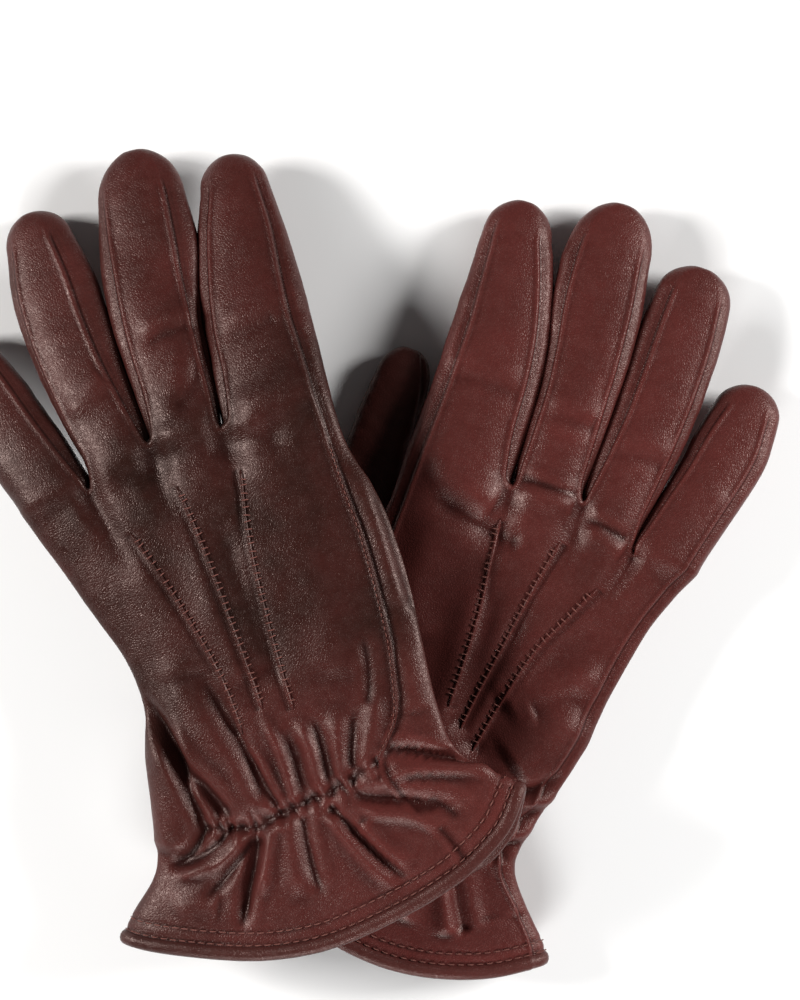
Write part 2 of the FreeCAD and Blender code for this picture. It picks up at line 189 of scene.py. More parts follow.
def hand_row(shape, t):
    """One ring of the hand, t of the way up from the hem: back, thumb edge, palm, little edge."""
    crotch_u = [c[0] for c in shape["crotches"]]
    crotch_v = [c[1] for c in shape["crotches"]]
    n = 4 * STRIP
    seam_top = curve(shape["seam"], crotch_v[-1])
    little_top = curve(shape["little_edge"], crotch_v[0]) + LITTLE_SEAM_IN
    knots = [little_top, *crotch_u[1:4], seam_top]
    top = np.interp(np.arange(n + 1), np.arange(5) * STRIP, knots)
    share = (top - knots[0]) / (knots[-1] - knots[0])
    strip = EDGE_STRIP / (knots[-1] - knots[0])
    share[1] = min(share[1], strip)
    share[n - 1] = max(share[n - 1], 1 - strip)
    u = top.copy()

    def v_along(u):
        return hem_v(shape, u) * (1 - t) + curve(shape["crotches"], u, 1) * t

    for _ in range(SETTLING):
        v = v_along(u)
        low = curve(shape["little_edge"], v) + LITTLE_SEAM_IN
        high = curve(shape["seam"], v)
        u = low + (high - low) * share

    def on_section(u, v, upper):
        """A point of the hand's section at (u, v)."""
        left, right = curve(shape["little_edge"], v), curve(shape["thumb_edge"], v)
        under, thick = curve(shape["levels"], v), curve(shape["levels"], v, 2)
        x = np.clip((u - (left + right) / 2) / ((right - left) / 2), -1, 1)
        if upper:
            w = under + thick * (0.5 + 0.5 * rounded(x, HAND_POWER))
        else:
            w = under + thick * (0.5 - 0.5 * rounded(x, PALM_POWER))
        return np.stack([u, v, w], -1)

    back = on_section(u, v, True)
    palm_u, palm_v = u.copy(), v.copy()
    for _ in range(SETTLING):
        low, high = curve(shape["little_edge"], palm_v), curve(shape["thumb_edge"], palm_v)
        palm_u = low + (high - low) * (0.07 + 0.86 * share)
        palm_v = v_along(palm_u)
    palm = on_section(palm_u, palm_v, False)
    # Close to the knuckles, the back and the palm follow the fingers, with hollows between them.
    near = ease(t, 0.78, 1.0)
    columns = np.arange(n + 1)
    hollow = np.abs(np.cos(np.pi * columns / STRIP)) ** 6
    hollow[:3] = 0
    hollow[-3:] = 0
    back[:, 2] += near * (0.5 - 3.8 * hollow)
    palm[:, 2] += near * 2.2 * hollow

    def edge(a, b, sign):
        """The points round the hand's edge, from the back to the palm."""

        def section(v):
            left, right = curve(shape["little_edge"], v), curve(shape["thumb_edge"], v)
            return (left + right) / 2, (right - left) / 2

        def start_angle(p, power):
            middle, half = section(p[1])
            return math.acos(min(1.0, abs((p[0] - middle) / half)) ** (power / 2))

        start, end = start_angle(a, HAND_POWER), -start_angle(b, HAND_POWER)
        points = []
        for j in range(1, GUSSET):
            angle = start + (end - start) * (j / GUSSET) ** 0.8
            x = abs(math.cos(angle)) ** (2 / HAND_POWER)
            z = math.copysign(abs(math.sin(angle)) ** (2 / HAND_POWER), angle)
            v_here = a[1] + (b[1] - a[1]) * j / GUSSET
            for _ in range(SETTLING):
                middle, half = section(v_here)
                u_here = middle + sign * half * x
                v_here = 0.5 * v_here + 0.5 * float(v_along(u_here))
            under, thick = curve(shape["levels"], v_here), curve(shape["levels"], v_here, 2)
            points.append((u_here, v_here, under + thick * (0.5 + 0.5 * z)))
        return np.array(points)

    thumb_edge = edge(back[-1], palm[-1], 1)
    little_edge = edge(back[0], palm[0], -1)
    return np.concatenate([back, thumb_edge, palm[::-1], little_edge[::-1]])


FULLER = 0.75  # added to each side of a finger, because the smoothing draws it in
TIP_FULLER = 0.8  # and to its tip


def finger_droop(drop, v, tip_v):
    share = np.maximum(0.0, (np.asarray(v, float) - KNUCKLE_V) / (tip_v - KNUCKLE_V))
    return drop * share ** 1.12


def finger_ring(shape, finger, v, keep=1.0, centre_u=None):
    """One ring of a finger, square to its middle line: back, thumb-side gusset, palm, little-side gusset."""
    rows, (tip_v, tip_u), drop = shape[finger]
    last = rows[-1][0]
    at = min(v, last)
    thumb, little = curve(rows, at), curve(rows, at, 2)
    seam_t, seam_l = curve(rows, at, 3), curve(rows, at, 4)
    ahead = min(at + 4, last)
    behind = ahead - 8
    drift = (curve(rows, ahead) + curve(rows, ahead, 2) - curve(rows, behind) - curve(rows, behind, 2)) / 16
    if v > last:
        drift = (tip_u - (thumb + little) / 2) / (tip_v - last)
    tilt = math.atan(drift)
    droop = float(finger_droop(drop, v, tip_v))
    middle, half = (thumb + little) / 2, ((thumb - little) / 2 + FULLER) * math.cos(tilt)
    x_t, x_l = (seam_t - middle) * math.cos(tilt) / half, (seam_l - middle) * math.cos(tilt) / half
    if centre_u is not None:
        middle = centre_u
    middle -= shape["lean"] * droop
    half *= keep
    share = max(0.0, (v - KNUCKLE_V) / (tip_v - KNUCKLE_V))
    high = (FINGER_HEIGHT / 2 - 1.3 * share) * (0.4 + 0.6 * keep)
    inner = 1.2 / half
    across = [x_l, x_l + inner, *np.linspace(x_l + inner, x_t - inner, STRIP - 1)[1:-1], x_t - inner, x_t]
    under = np.linspace(x_l * 0.97, x_t * 0.97, STRIP + 1)

    def gusset(x_from, x_to, sign):
        start = math.acos(min(1.0, abs(x_from)) ** (FINGER_POWER / 2))
        end = -math.acos(min(1.0, abs(x_to)) ** (FINGER_POWER / 2))
        angles = [start + (end - start) * (0.04 + 0.92 * j / GUSSET) for j in range(1, GUSSET)]
        return [
            (
                sign * abs(math.cos(g)) ** (2 / FINGER_POWER),
                math.copysign(abs(math.sin(g)) ** (2 / FINGER_POWER), g),
            )
            for g in angles
        ]

    flat = [(x, float(rounded(x, FINGER_POWER))) for x in across]
    flat += gusset(x_t, under[-1], 1)
    flat += [(x, -float(rounded(x, FINGER_POWER))) for x in under[::-1]]
    flat += gusset(x_l, under[0], -1)[::-1]
    low = FINGER_HEIGHT / 2 - droop
    return np.array([
        (middle + half * x * math.cos(tilt), v - half * x * math.sin(tilt), low + high * z) for x, z in flat
    ])


def finger_rings(shape, finger):
    rows, (tip_v, tip_u), _ = shape[finger]
    last = rows[-1][0]
    crotch_u = [c[0] for c in shape["crotches"]]
    order = FINGERS.index(finger)
    root = curve(shape["crotches"], (crotch_u[order] + crotch_u[order + 1]) / 2)
    rings = [finger_ring(shape, finger, v) for v in np.linspace(root + 4.5, last, FINGER_ROWS)]
    middle = (rows[-1][1] + rows[-1][2]) / 2
    for q in TIP_SHARES:
        keep = (1 - q**TIP_POWER) ** (1 / TIP_POWER)
        v = last + (tip_v + TIP_FULLER - last) * q
        rings.append(finger_ring(shape, finger, v, keep, middle + (tip_u - middle) * q))
    return rings


PIECES = ["back_panel", "palm_panel"]
for _finger in FINGERS:
    PIECES += [f"{_finger}_back", f"{_finger}_palm"]
    PIECES += [] if _finger == "index" else [f"{_finger}_thumb_side_fourchette"]
    PIECES += [] if _finger == "little" else [f"{_finger}_little_side_fourchette"]


def cage(shape):
    """Points, faces and each face's piece, for the hand and its fingers: open only at the hem."""
    n, g = 4 * STRIP, GUSSET
    ring = 2 * (n + 1) + 2 * (g - 1)
    points, faces, owner = [], [], []
    for t in np.linspace(0, 1, HAND_ROWS) ** 0.93:
        points += list(hand_row(shape, t))
    for i in range(HAND_ROWS - 1):
        for c in range(ring):
            a, b = i * ring + c, i * ring + (c + 1) % ring
            faces.append((a, b, b + ring, a + ring))
            owner.append(PIECES.index("back_panel" if c < n else "palm_panel"))
    base = (HAND_ROWS - 1) * ring
    back = [base + c for c in range(n + 1)]
    thumb_edge = [base + n + 1 + j for j in range(g - 1)]
    palm = [base + n + g + c for c in range(n + 1)][::-1]
    little_edge = [base + 2 * n + g + 1 + j for j in range(g - 1)][::-1]
    webs = [little_edge]
    for k in (1, 2, 3):
        upper, lower = points[back[k * STRIP]], points[palm[k * STRIP]]
        web = []
        for j in range(1, g):
            share = j / g
            web.append(len(points))
            dip = WEB_SAG * math.sin(math.pi * share)
            points.append(upper + (lower - upper) * share - np.array([0, dip, 0]))
        webs.append(web)
    webs.append(thumb_edge)
    for k, finger in enumerate(FINGERS):
        first = back[k * STRIP:(k + 1) * STRIP + 1] + webs[k + 1]
        first += palm[k * STRIP:(k + 1) * STRIP + 1][::-1] + webs[k][::-1]
        size = len(first)
        names = [f"{finger}_back"] * STRIP
        names += [f"{finger}_palm" if finger == "index" else f"{finger}_thumb_side_fourchette"] * g
        names += [f"{finger}_palm"] * STRIP
        names += [f"{finger}_palm" if finger == "little" else f"{finger}_little_side_fourchette"] * g
        for made in finger_rings(shape, finger):
            second = list(range(len(points), len(points) + size))
            points += list(made)
            for c in range(size):
                d = (c + 1) % size
                faces.append((first[c], first[d], second[d], second[c]))
                owner.append(PIECES.index(names[c]))
            first = second
        tip_v, tip_u = shape[finger][1]
        reach = (tip_u - shape["lean"] * shape[finger][2], tip_v + TIP_FULLER)
        close_tip(points, faces, owner, first, reach, PIECES.index(f"{finger}_back"))
    return np.array(points), faces, owner


def close_tip(points, faces, owner, ring, tip, piece):
    """Fills a finger's last ring with a bulging grid."""
    rows, columns = GUSSET + 1, STRIP + 1
    grid = np.full((rows, columns), -1)
    grid[0] = ring[:columns]
    grid[-1] = ring[columns + GUSSET - 1:2 * columns + GUSSET - 1][::-1]
    grid[1:-1, -1] = ring[columns:columns + GUSSET - 1]
    grid[1:-1, 0] = ring[2 * columns + GUSSET - 1:][::-1]
    middle = np.mean([points[i] for i in ring], 0)
    reach = np.array([tip[0], tip[1], 0]) - middle
    reach[2] = 0
    for i in range(1, rows - 1):
        for j in range(1, columns - 1):
            a, b = i / (rows - 1), j / (columns - 1)
            across = np.array(points[grid[i, 0]]) * (1 - b) + np.array(points[grid[i, -1]]) * b
            up = np.array(points[grid[0, j]]) * (1 - a) + np.array(points[grid[-1, j]]) * a
            bulge = math.sin(math.pi * a) ** 0.6 * math.sin(math.pi * b) ** 0.6
            grid[i, j] = len(points)
            points.append((across + up) / 2 + reach * bulge)
    for i in range(rows - 1):
        for j in range(columns - 1):
            faces.append((grid[i, j], grid[i, j + 1], grid[i + 1, j + 1], grid[i + 1, j]))
            owner.append(piece)


# ---------------------------------------------------------------- meshes


def glove_axes(name):
    """The glove's own frame in the row frame: its origin and its u, v and w directions, from its joints."""
    joints = {j["name"]: j for j in frame["joints"]}
    curl, swing = joints[f"{name}_index_curl"], joints[f"{name}_thumb_swing"]
    x = -np.array(curl["axis"], float)
    w = -np.array(swing["axis"], float) * SIDE[name]
    v = np.cross(w, x)
    origin = np.array(curl["pos_m"]) / MM - x * SIDE[name] * INDEX_ROOT_U[name] - v * KNUCKLE_V
    return origin, x * SIDE[name], v, w


AXES = {name: glove_axes(name) for name in SIDE}


def placed(name, points):
    """Points in the glove's own frame, in millimetres, as points in the row frame, in metres."""
    origin, u, v, w = AXES[name]
    p = np.asarray(points, float)
    return (origin + p[..., 0:1] * u + p[..., 1:2] * v + p[..., 2:3] * w) * MM


def new_mesh(title, points, faces, mirrored=False):
    mesh = bpy.data.meshes.new(title)
    loops = [tuple(f[::-1]) for f in faces] if mirrored else [tuple(f) for f in faces]
    mesh.from_pydata([tuple(p) for p in points], [], loops)
    mesh.update()
    return mesh


def add(title, mesh, material):
    made = bpy.data.objects.new(title, mesh)
    bpy.context.scene.collection.objects.link(made)
    mesh.materials.append(material)
    return made


def subdivided(points, faces, owner, levels):
    """The cage's smooth subdivision: its points, faces and owners."""
    mesh = new_mesh("cage", points, faces)
    mesh.attributes.new("owner", "INT", "FACE").data.foreach_set("value", owner)
    for _ in PIECES:
        mesh.materials.append(None)
    mesh.polygons.foreach_set("material_index", owner)
    made = bpy.data.objects.new("cage", mesh)
    bpy.context.scene.collection.objects.link(made)
    smooth = made.modifiers.new("smooth", "SUBSURF")
    smooth.levels = smooth.render_levels = levels
    smooth.boundary_smooth = "ALL"
    graph = bpy.context.evaluated_depsgraph_get()
    dense = bpy.data.meshes.new_from_object(made.evaluated_get(graph))
    co = np.zeros(len(dense.vertices) * 3)
    dense.vertices.foreach_get("co", co)
    quads = np.zeros(len(dense.loops), np.int64)
    dense.loops.foreach_get("vertex_index", quads)
    owners = np.zeros(len(dense.polygons), np.int64)
    dense.polygons.foreach_get("material_index", owners)
    bpy.data.objects.remove(made)
    return co.reshape(-1, 3), quads.reshape(-1, 4), owners


def normals_of(points, quads):
    """Each point's outward normal, with the cage's winding turned outwards."""
    a, b, c, d = (points[quads[:, i]] for i in range(4))
    face = np.cross(c - a, d - b)
    total = np.zeros_like(points)
    for i in range(4):
        np.add.at(total, quads[:, i], face)
    return total / np.maximum(np.linalg.norm(total, axis=1, keepdims=True), 1e-12)


# ---------------------------------------------------------------- folds

# Each fold: (height, half width, points on the glove's back), in millimetres. A negative height is a valley.
# Both ends fade out, the last one more suddenly.
FOLDS = {
    "left": [
        (-1.5, 2.4, [(-23, 48), (-21, 39), (-18, 28), (-15, 17), (-14, 7), (-13, -1)]),
        (1.7, 4.2, [(-33, 56), (-31, 40), (-26, 26), (-20, 12), (-16, 2), (-15, -4)]),
        (-2.6, 2.4, [(-45, 47), (-40, 31), (-36, 18), (-31, 10), (-27, 2), (-25, -3)]),
        (1.3, 2.8, [(-37, 36), (-32, 20), (-27, 9), (-23, 0), (-20, -6)]),
        (1.9, 5.0, [(-42, 34), (-44, 21), (-45, 8), (-47, -2), (-49, -8)]),
        (-2.2, 1.8, [(-42, 38), (-38, 25), (-37, 12), (-35, 1), (-37, -5), (-42, -9), (-51, -12)]),
        (-1.0, 1.3, [(-15, 19), (-13, 11), (-11, 3), (-9, -2)]),
        (0.9, 1.4, [(-15, 25), (-12, 14), (-9, 4), (-7, -3)]),
        (1.3, 1.6, [(-8, 30), (-5, 18), (-4, 6), (-4, -3)]),
        (1.2, 2.0, [(3, 25), (5, 14), (5, 6), (7, -2)]),
        (-1.0, 2.2, [(-1, 24), (0, 12), (0, 2), (1, -4)]),
        (-1.1, 2.0, [(8, 26), (9, 13), (9, 4), (11, -2)]),
        (1.3, 2.6, [(17, 26), (14, 14), (13, 5), (13, -2)]),
        (-1.0, 1.8, [(22, 24), (18, 12), (16, 4), (16, -2)]),
        (1.6, 2.6, [(30, 28), (26, 16), (22, 8), (19, 0)]),
        (-2.4, 1.7, [(24, 9), (30, 7.4), (37, 4.6), (44, 1.4), (52, -0.6), (58, -2)]),
        (1.5, 1.6, [(20, 4), (21, 0), (24, -2), (30, 0), (40, -1), (52, -5), (60, -8)]),
        (-1.8, 2.2, [(11, 2), (18, -5), (28, -8.5), (38, -12), (46, -16)]),
        (1.1, 2.0, [(12, -5), (21, -10), (31, -14), (40, -20)]),
        (-1.7, 1.5, [(25, -34), (18, -25), (12, -15), (5, -3)]),
        (1.4, 2.2, [(21, -36), (14, -26), (9, -16), (6, -6)]),
        (0.9, 2.2, [(28, -29), (21, -22), (14, -12)]),
        (-1.2, 1.8, [(-3, -33), (-4, -25), (-4, -15), (-3, -4)]),
        (1.3, 2.6, [(-11, -32), (-10, -18), (-8, -4)]),
        (-2.4, 1.9, [(-32, -37), (-27, -26), (-22, -16), (-18, -7)]),
        (1.5, 1.9, [(-23, -28), (-17, -16), (-12, -4)]),
        (1.3, 1.8, [(-48, -15), (-37, -14.6), (-28, -12), (-21, -6)]),
        (-1.4, 1.4, [(-50, -13), (-40, -11), (-31, -7), (-24, -3)]),
        (-1.2, 1.6, [(-42, -25), (-33, -19), (-25, -13), (-20, -7)]),
        (0.9, 3.4, [(-52, -26), (-44, -24), (-36, -27)]),
        (-1.3, 5.5, [(-46, 104), (-35, 109), (-21, 113), (-6, 113), (8, 112), (26, 111)]),
        (1.0, 4.5, [(6, 120), (16, 123), (28, 124), (36, 124)]),
        (-0.9, 3.0, [(2, 166), (4, 152), (1, 140), (-5, 131), (-12, 127)]),
        (0.6, 2.8, [(-17, 154), (-9, 157), (2, 157)]),
        (-0.5, 2.0, [(-17, 149), (-9, 152), (3, 152)]),
        (0.45, 3.6, [(9, 150), (18, 152), (27, 153), (36, 156)]),
        (-0.3, 2.6, [(8, 145), (18, 146), (28, 148)]),
        (0.8, 3.4, [(-46, 134), (-37, 140), (-30, 144)]),
        (0.9, 7.0, [(-34, 90), (-31, 70), (-28, 55), (-27, 44)]),
        (1.0, 6.0, [(-10, 90), (-13, 70), (-11, 50), (-8, 38)]),
        (-1.2, 5.0, [(-6, 96), (-4, 72), (-2, 50), (-1, 34)]),
        (0.9, 6.0, [(14, 88), (19, 66), (20, 48), (17, 32)]),
        (1.0, 2.6, [(40, 100), (42, 84), (43, 66), (43, 48)]),
        (-0.9, 1.6, [(42, 93), (44, 86), (45.4, 78), (46, 68), (46.6, 58), (47, 46)]),
        (0.8, 3.0, [(41, 40), (41, 28), (40, 16)]),
        (-0.7, 1.6, [(30, 46), (29, 34), (26, 22)]),
    ],
    "right": [
        (1.1, 4.0, [(34, 115), (28, 114), (18, 112.5), (8, 110)]),
        (-1.2, 3.4, [(32, 108), (20, 105), (8, 102), (-4, 101)]),
        (0.7, 2.6, [(7, 117), (-5, 116.4), (-16, 117)]),
        (-0.6, 1.6, [(6, 121), (-5, 121), (-16, 121)]),
        (0.6, 2.6, [(-19, 111), (-27, 109.6), (-35, 107)]),
        (-0.6, 1.6, [(-19, 115), (-27, 114), (-35, 112)]),
        (-2.0, 6.5, [(-40, 96), (-33, 80), (-20, 59), (-11, 42), (-6, 28)]),
        (1.6, 5.0, [(-44, 68), (-32, 65), (-20, 58), (-12, 49)]),
        (-0.9, 4.0, [(-42, 60), (-33, 58), (-22, 50)]),
        (1.5, 7.0, [(-40, 56), (-33, 46), (-25, 38), (-20, 32)]),
        (-1.5, 1.9, [(-38, 36), (-32, 28.6), (-26, 25), (-18, 23)]),
        (1.2, 1.5, [(-39, 29), (-35, 25.4), (-27, 22), (-19, 19)]),
        (-1.4, 1.6, [(-37, 23), (-31, 18), (-25, 14), (-18, 12)]),
        (1.1, 1.6, [(-35, 17), (-30, 12), (-24, 9), (-17, 8)]),
        (-1.2, 1.4, [(-33, 11), (-29, 8), (-24, 4.6), (-18, 3)]),
        (1.0, 5.0, [(24, 106), (26, 88), (24, 72), (18, 60)]),
        (1.0, 4.4, [(6, 92), (4, 70), (4, 50), (4, 34)]),
        (-1.2, 3.4, [(2, 90), (0, 70), (0, 52), (1, 34)]),
        (-1.1, 3.0, [(-12, 88), (-9, 70), (-5, 54), (-1, 36)]),
        (-1.5, 2.1, [(-13, -4), (-15, -8), (-19, -15.6), (-24, -24)]),
        (1.2, 2.4, [(-11, -8), (-14, -16), (-18, -26)]),
        (0.6, 2.6, [(-25, 6), (-30, 0), (-34, -6), (-38, -14)]),
        (-0.5, 3.4, [(-22, 2), (-26, -8), (-31, -18)]),
        (1.2, 3.0, [(-6, -2), (-4, -12), (-3, -26)]),
        (-0.8, 2.8, [(2, 0), (4, -12), (6, -26)]),
        (1.2, 3.0, [(11, 0), (14, -12), (18, -26)]),
        (-0.8, 2.6, [(20, 0), (25, -10), (31, -22)]),
        (0.5, 3.6, [(8, 150), (18, 152), (30, 152), (38, 150)]),
        (-0.3, 2.6, [(8, 145), (20, 146), (36, 145)]),
        (0.45, 3.2, [(5, 147), (-4, 149), (-15, 147)]),
        (-0.35, 2.4, [(5, 142), (-4, 143), (-16, 142)]),
        (0.45, 3.2, [(-20, 141), (-30, 144), (-41, 143)]),
        (-0.3, 2.4, [(-20, 136), (-30, 138), (-40, 137)]),
        (0.4, 3.0, [(-42, 132), (-52, 134), (-63, 133)]),
    ],
}
GATHERS = {  # the wrist elastic's line across the back, and how deep it draws the leather in
    "left": (1.7, [(-37, -2), (-26, -4), (-18, -6), (-11, -4), (-4, -2.4), (4, -1), (12, 0.8), (19, 3.2),
                   (27, 6)]),
    "right": (1.4, [(-31, 5), (-20, 3), (-10, 1.5), (0, 1), (10, 1.5), (20, 3), (32, 5)]),
}
GATHER_PITCH = 4.3
POINTS = {  # the three raised points' lines on the back
    "left": [[(-33.6, 94), (-29.8, 84), (-24.4, 69.5), (-18.4, 50), (-15.8, 36), (-14.8, 23)],
             [(-15.2, 104.4), (-13.0, 90), (-11.1, 76), (-8.9, 55), (-7.6, 41), (-6.6, 29.5)],
             [(5.8, 104.5), (3.6, 90), (2.6, 75.5), (2.0, 55), (2.3, 40), (2.9, 27)]],
    "right": [[(-30.5, 95), (-24.5, 83), (-17.6, 70), (-12.2, 52), (-8, 33)],
              [(-14.7, 105.6), (-11.4, 90), (-7.4, 70), (-4.2, 52), (-2.2, 38.5)],
              [(5.8, 107), (4.8, 94), (3.6, 78), (3.3, 60), (3.7, 44)]],
}


def smooth_line(points, steps=8):
    """A smooth curve through the points."""
    p = np.array(points, float)
    k = np.arange(len(p), dtype=float)
    at = np.linspace(0, len(p) - 1, (len(p) - 1) * steps + 1)
    return np.stack([curve(np.column_stack([k, p[:, i]]), at) for i in range(p.shape[1])], 1)


def beside(line, places):
    """Each place's distance from a line, positive on its left, and its share of the way along it."""
    a, step = line[:-1], line[1:] - line[:-1]
    length = np.hypot(step[:, 0], step[:, 1])
    run = np.concatenate([[0], np.cumsum(length)])
    best = np.full(len(places), 1e9)
    along = np.zeros(len(places))
    for i in range(len(step)):
        rel = places - a[i]
        t = np.clip(rel @ step[i] / length[i] ** 2, 0, 1)
        off = rel - t[:, None] * step[i]
        gap = np.hypot(off[:, 0], off[:, 1])
        side = np.where(step[i, 0] * rel[:, 1] - step[i, 1] * rel[:, 0] >= 0, 1.0, -1.0)
        closer = gap < np.abs(best)
        best = np.where(closer, gap * side, best)
        along = np.where(closer, (run[i] + t * length[i]) / run[-1], along)
    return best, along, run[-1]


def fold_relief(uv, height, width, points):
    line = smooth_line(points)
    low, high = line.min(0) - 4 * width, line.max(0) + 4 * width
    near = np.all((uv > low) & (uv < high), axis=1)
    relief = np.zeros(len(uv))
    gap, along, _ = beside(line, uv[near])
    across = gap / width
    shape = np.exp(-(across**2))
    if height < 0:
        shape = shape - 0.16 * np.exp(-((np.abs(across) - 2.2) ** 2))
    relief[near] = height * shape * ease(along, 0, 0.3) * ease(1 - along, 0, 0.12)
    return relief


def noise_field(points, size, seed):
    """Smooth random values from -1 to 1 over the points, with bumps of about the size given."""
    shift = Vector((seed * 17.3, seed * 5.1, seed * 9.7))
    return np.array([noise.noise(Vector(p) / size + shift) for p in points])


RIDGE_WIDER = 1.25
FOLD_GAIN = 1.2
LEAN_SHIFT = 10  # a rolled glove's drawn lines move over by this times its lean
POINT_VALLEY = (0.3, 1.6, 1.3)  # depth, distance from the tuck and half width
PUCKER = 0.5
CRUMPLE = 0.25
SEAM_GROOVE = (0.55, 0.5)  # depth and half width
SEAM_ROLL = (0.42, -0.3)  # the leather beside a seam rises on the back and dips on the side
STITCH_GROOVE = (0.26, 0.6)
TOPSTITCH_ROWS = {"left": (4.5, 8.4), "right": (4.5, 8.0)}  # in from the hem


def tip_share(name, uv):
    """1 on the fingertips and 0 elsewhere."""
    share = np.zeros(len(uv))
    for finger in FINGERS:
        rows, (tip_v, tip_u), _ = SHAPES[name][finger]
        last = rows[-1]
        middle = (last[1] + last[2]) / 2
        near = np.abs(uv[:, 0] - (middle + tip_u) / 2) < 16
        share = np.maximum(share, near * ease(uv[:, 1], last[0] - 2, last[0] + (tip_v - last[0]) * 0.5))
    return share


def sculpt(name, points, normals, to_seam, seam_side, to_hem):
    """How far each point moves along its normal, for the folds, gathers, seams and hem."""
    uv = points[:, :2]
    upper = ease(normals[:, 2], 0.02, 0.35)
    relief = np.zeros(len(points))
    seen = uv - np.array([SHAPES[name]["lean"] * LEAN_SHIFT, 0])
    for height, width, line in FOLDS[name]:
        wide = width if height < 0 else width * RIDGE_WIDER
        relief += fold_relief(seen, height * FOLD_GAIN, wide, line) * upper
    for line in POINTS[name]:
        gap, along, _ = beside(smooth_line(line), seen)
        deep, off, wide = POINT_VALLEY
        relief -= deep * np.exp(-(((gap + off) / wide) ** 2)) * upper * (along > 0.005) * (along < 0.995)
    depth, line = GATHERS[name]
    gap, along, length = beside(smooth_line(line), seen)
    wobble = noise_field(points * np.array([1, 0.25, 1]), 7.0, 3)
    strength = ease(along, 0, 0.06) * ease(1 - along, 0, 0.06)
    pucker = np.cos(2 * np.pi * along * length / GATHER_PITCH + 2.4 * wobble + 0.05 * gap)
    relief += upper * strength * (
        -depth * np.exp(-((gap / 2.0) ** 2))
        + PUCKER * pucker * np.exp(-((np.abs(gap) / 3.6) ** 1.8))
    )
    crumple = noise_field(points * np.array([1, 0.3, 1]), 3.4, 5)
    relief += CRUMPLE * crumple * np.exp(-((gap / 13) ** 2)) * (0.35 + 0.65 * upper)
    relief += 0.5 * noise_field(points, 19, 1) + 0.12 * noise_field(points, 7.5, 2)
    relief += 0.16 * noise_field(points * np.array([0.35, 1, 1]), 5.5, 4) * ease(uv[:, 1], 120, 140)
    calm = 1 - np.exp(-((to_seam / 2.2) ** 2)) * 0.6
    relief *= np.where(uv[:, 1] > 112, calm, 1)
    seam = 1 - tip_share(name, uv)
    relief -= seam * SEAM_GROOVE[0] * np.exp(-((to_seam / SEAM_GROOVE[1]) ** 2))
    relief += seam * np.where(seam_side, *SEAM_ROLL) * np.exp(-(((to_seam - 1.25) / 0.75) ** 2))
    at_hem = ease(to_hem, 0.5, 7)
    relief *= 0.45 + 0.55 * at_hem
    for row in TOPSTITCH_ROWS[name]:
        relief -= STITCH_GROOVE[0] * np.exp(-(((to_hem - row) / STITCH_GROOVE[1]) ** 2))
    return relief



# ---------------------------------------------------------------- strips, tubes and stitches


def frames_along(path, ups):
    """At each point of a path, its direction and the directions across it and up."""
    ahead = np.gradient(path, axis=0)
    ahead /= np.maximum(np.linalg.norm(ahead, axis=1, keepdims=True), 1e-9)
    across = np.cross(ahead, ups)
    across /= np.maximum(np.linalg.norm(across, axis=1, keepdims=True), 1e-9)
    return ahead, across, np.cross(across, ahead)


def tube_faces(rings, count, closed=False):
    """The faces between rings of count points, with the last ring joined to the first one if closed."""
    faces = []
    for i in range(rings if closed else rings - 1):
        after = (i + 1) % rings
        for j in range(count):
            k = (j + 1) % count
            faces.append((i * count + j, i * count + k, after * count + k, after * count + j))
    return faces


def sweep(path, ups, section, sizes=None):
    """A section, in (across, up) millimetres, swept along a path and closed at its ends: points and faces."""
    _, across, up = frames_along(path, ups)
    section = np.array(section, float)
    sizes = np.ones(len(path)) if sizes is None else sizes
    offsets = section[None, :, 0:1] * across[:, None] + section[None, :, 1:2] * up[:, None]
    points = path[:, None] + offsets * sizes[:, None, None]
    n, m = len(path), len(section)
    ends = [tuple(range(m))[::-1], tuple((n - 1) * m + j for j in range(m))]
    return points.reshape(-1, 3), tube_faces(n, m) + ends


def round_section(width, height, count=8):
    angles = np.linspace(0, 2 * np.pi, count, endpoint=False)
    return np.stack([width / 2 * np.cos(angles), height / 2 * np.sin(angles)], 1)


def capsule(start, end, up, thick, rise):
    """One short stitch: a rounded thread from start to end that rises in its middle."""
    shares = np.array([0, 0.12, 0.35, 0.65, 0.88, 1.0])
    lift = np.array([-0.9, 0.1, 1.0, 1.0, 0.1, -0.9]) * rise
    path = start + (end - start) * shares[:, None] + up * lift[:, None]
    sizes = np.array([0.6, 0.95, 1, 1, 0.95, 0.6])
    return sweep(path, np.repeat(up[None], len(path), 0), round_section(thick, thick, 6), sizes=sizes)


def joined(parts):
    points, faces, count = [], [], 0
    for p, f in parts:
        points.append(p)
        faces += [tuple(i + count for i in face) for face in f]
        count += len(p)
    return np.concatenate(points), faces


class Surface:
    """A glove's sculpted skin, to lay things on, in the glove's own frame."""

    def __init__(self, points, quads):
        self.tree = BVHTree.FromPolygons([Vector(p) for p in points], [tuple(q) for q in quads])

    def on_back(self, u, v):
        hit = self.tree.ray_cast(Vector((u, v, 60)), Vector((0, 0, -1)))
        return np.array(hit[0]), np.array(hit[1])

    def nearest(self, p):
        hit = self.tree.find_nearest(Vector(p))
        return np.array(hit[0]), np.array(hit[1])


def evenly(line, pitch):
    """Points along a line, pitch apart."""
    step = np.linalg.norm(line[1:] - line[:-1], axis=1)
    run = np.concatenate([[0], np.cumsum(step)])
    at = np.arange(pitch / 2, run[-1], pitch)
    return np.stack([np.interp(at, run, line[:, i]) for i in range(line.shape[1])], 1)


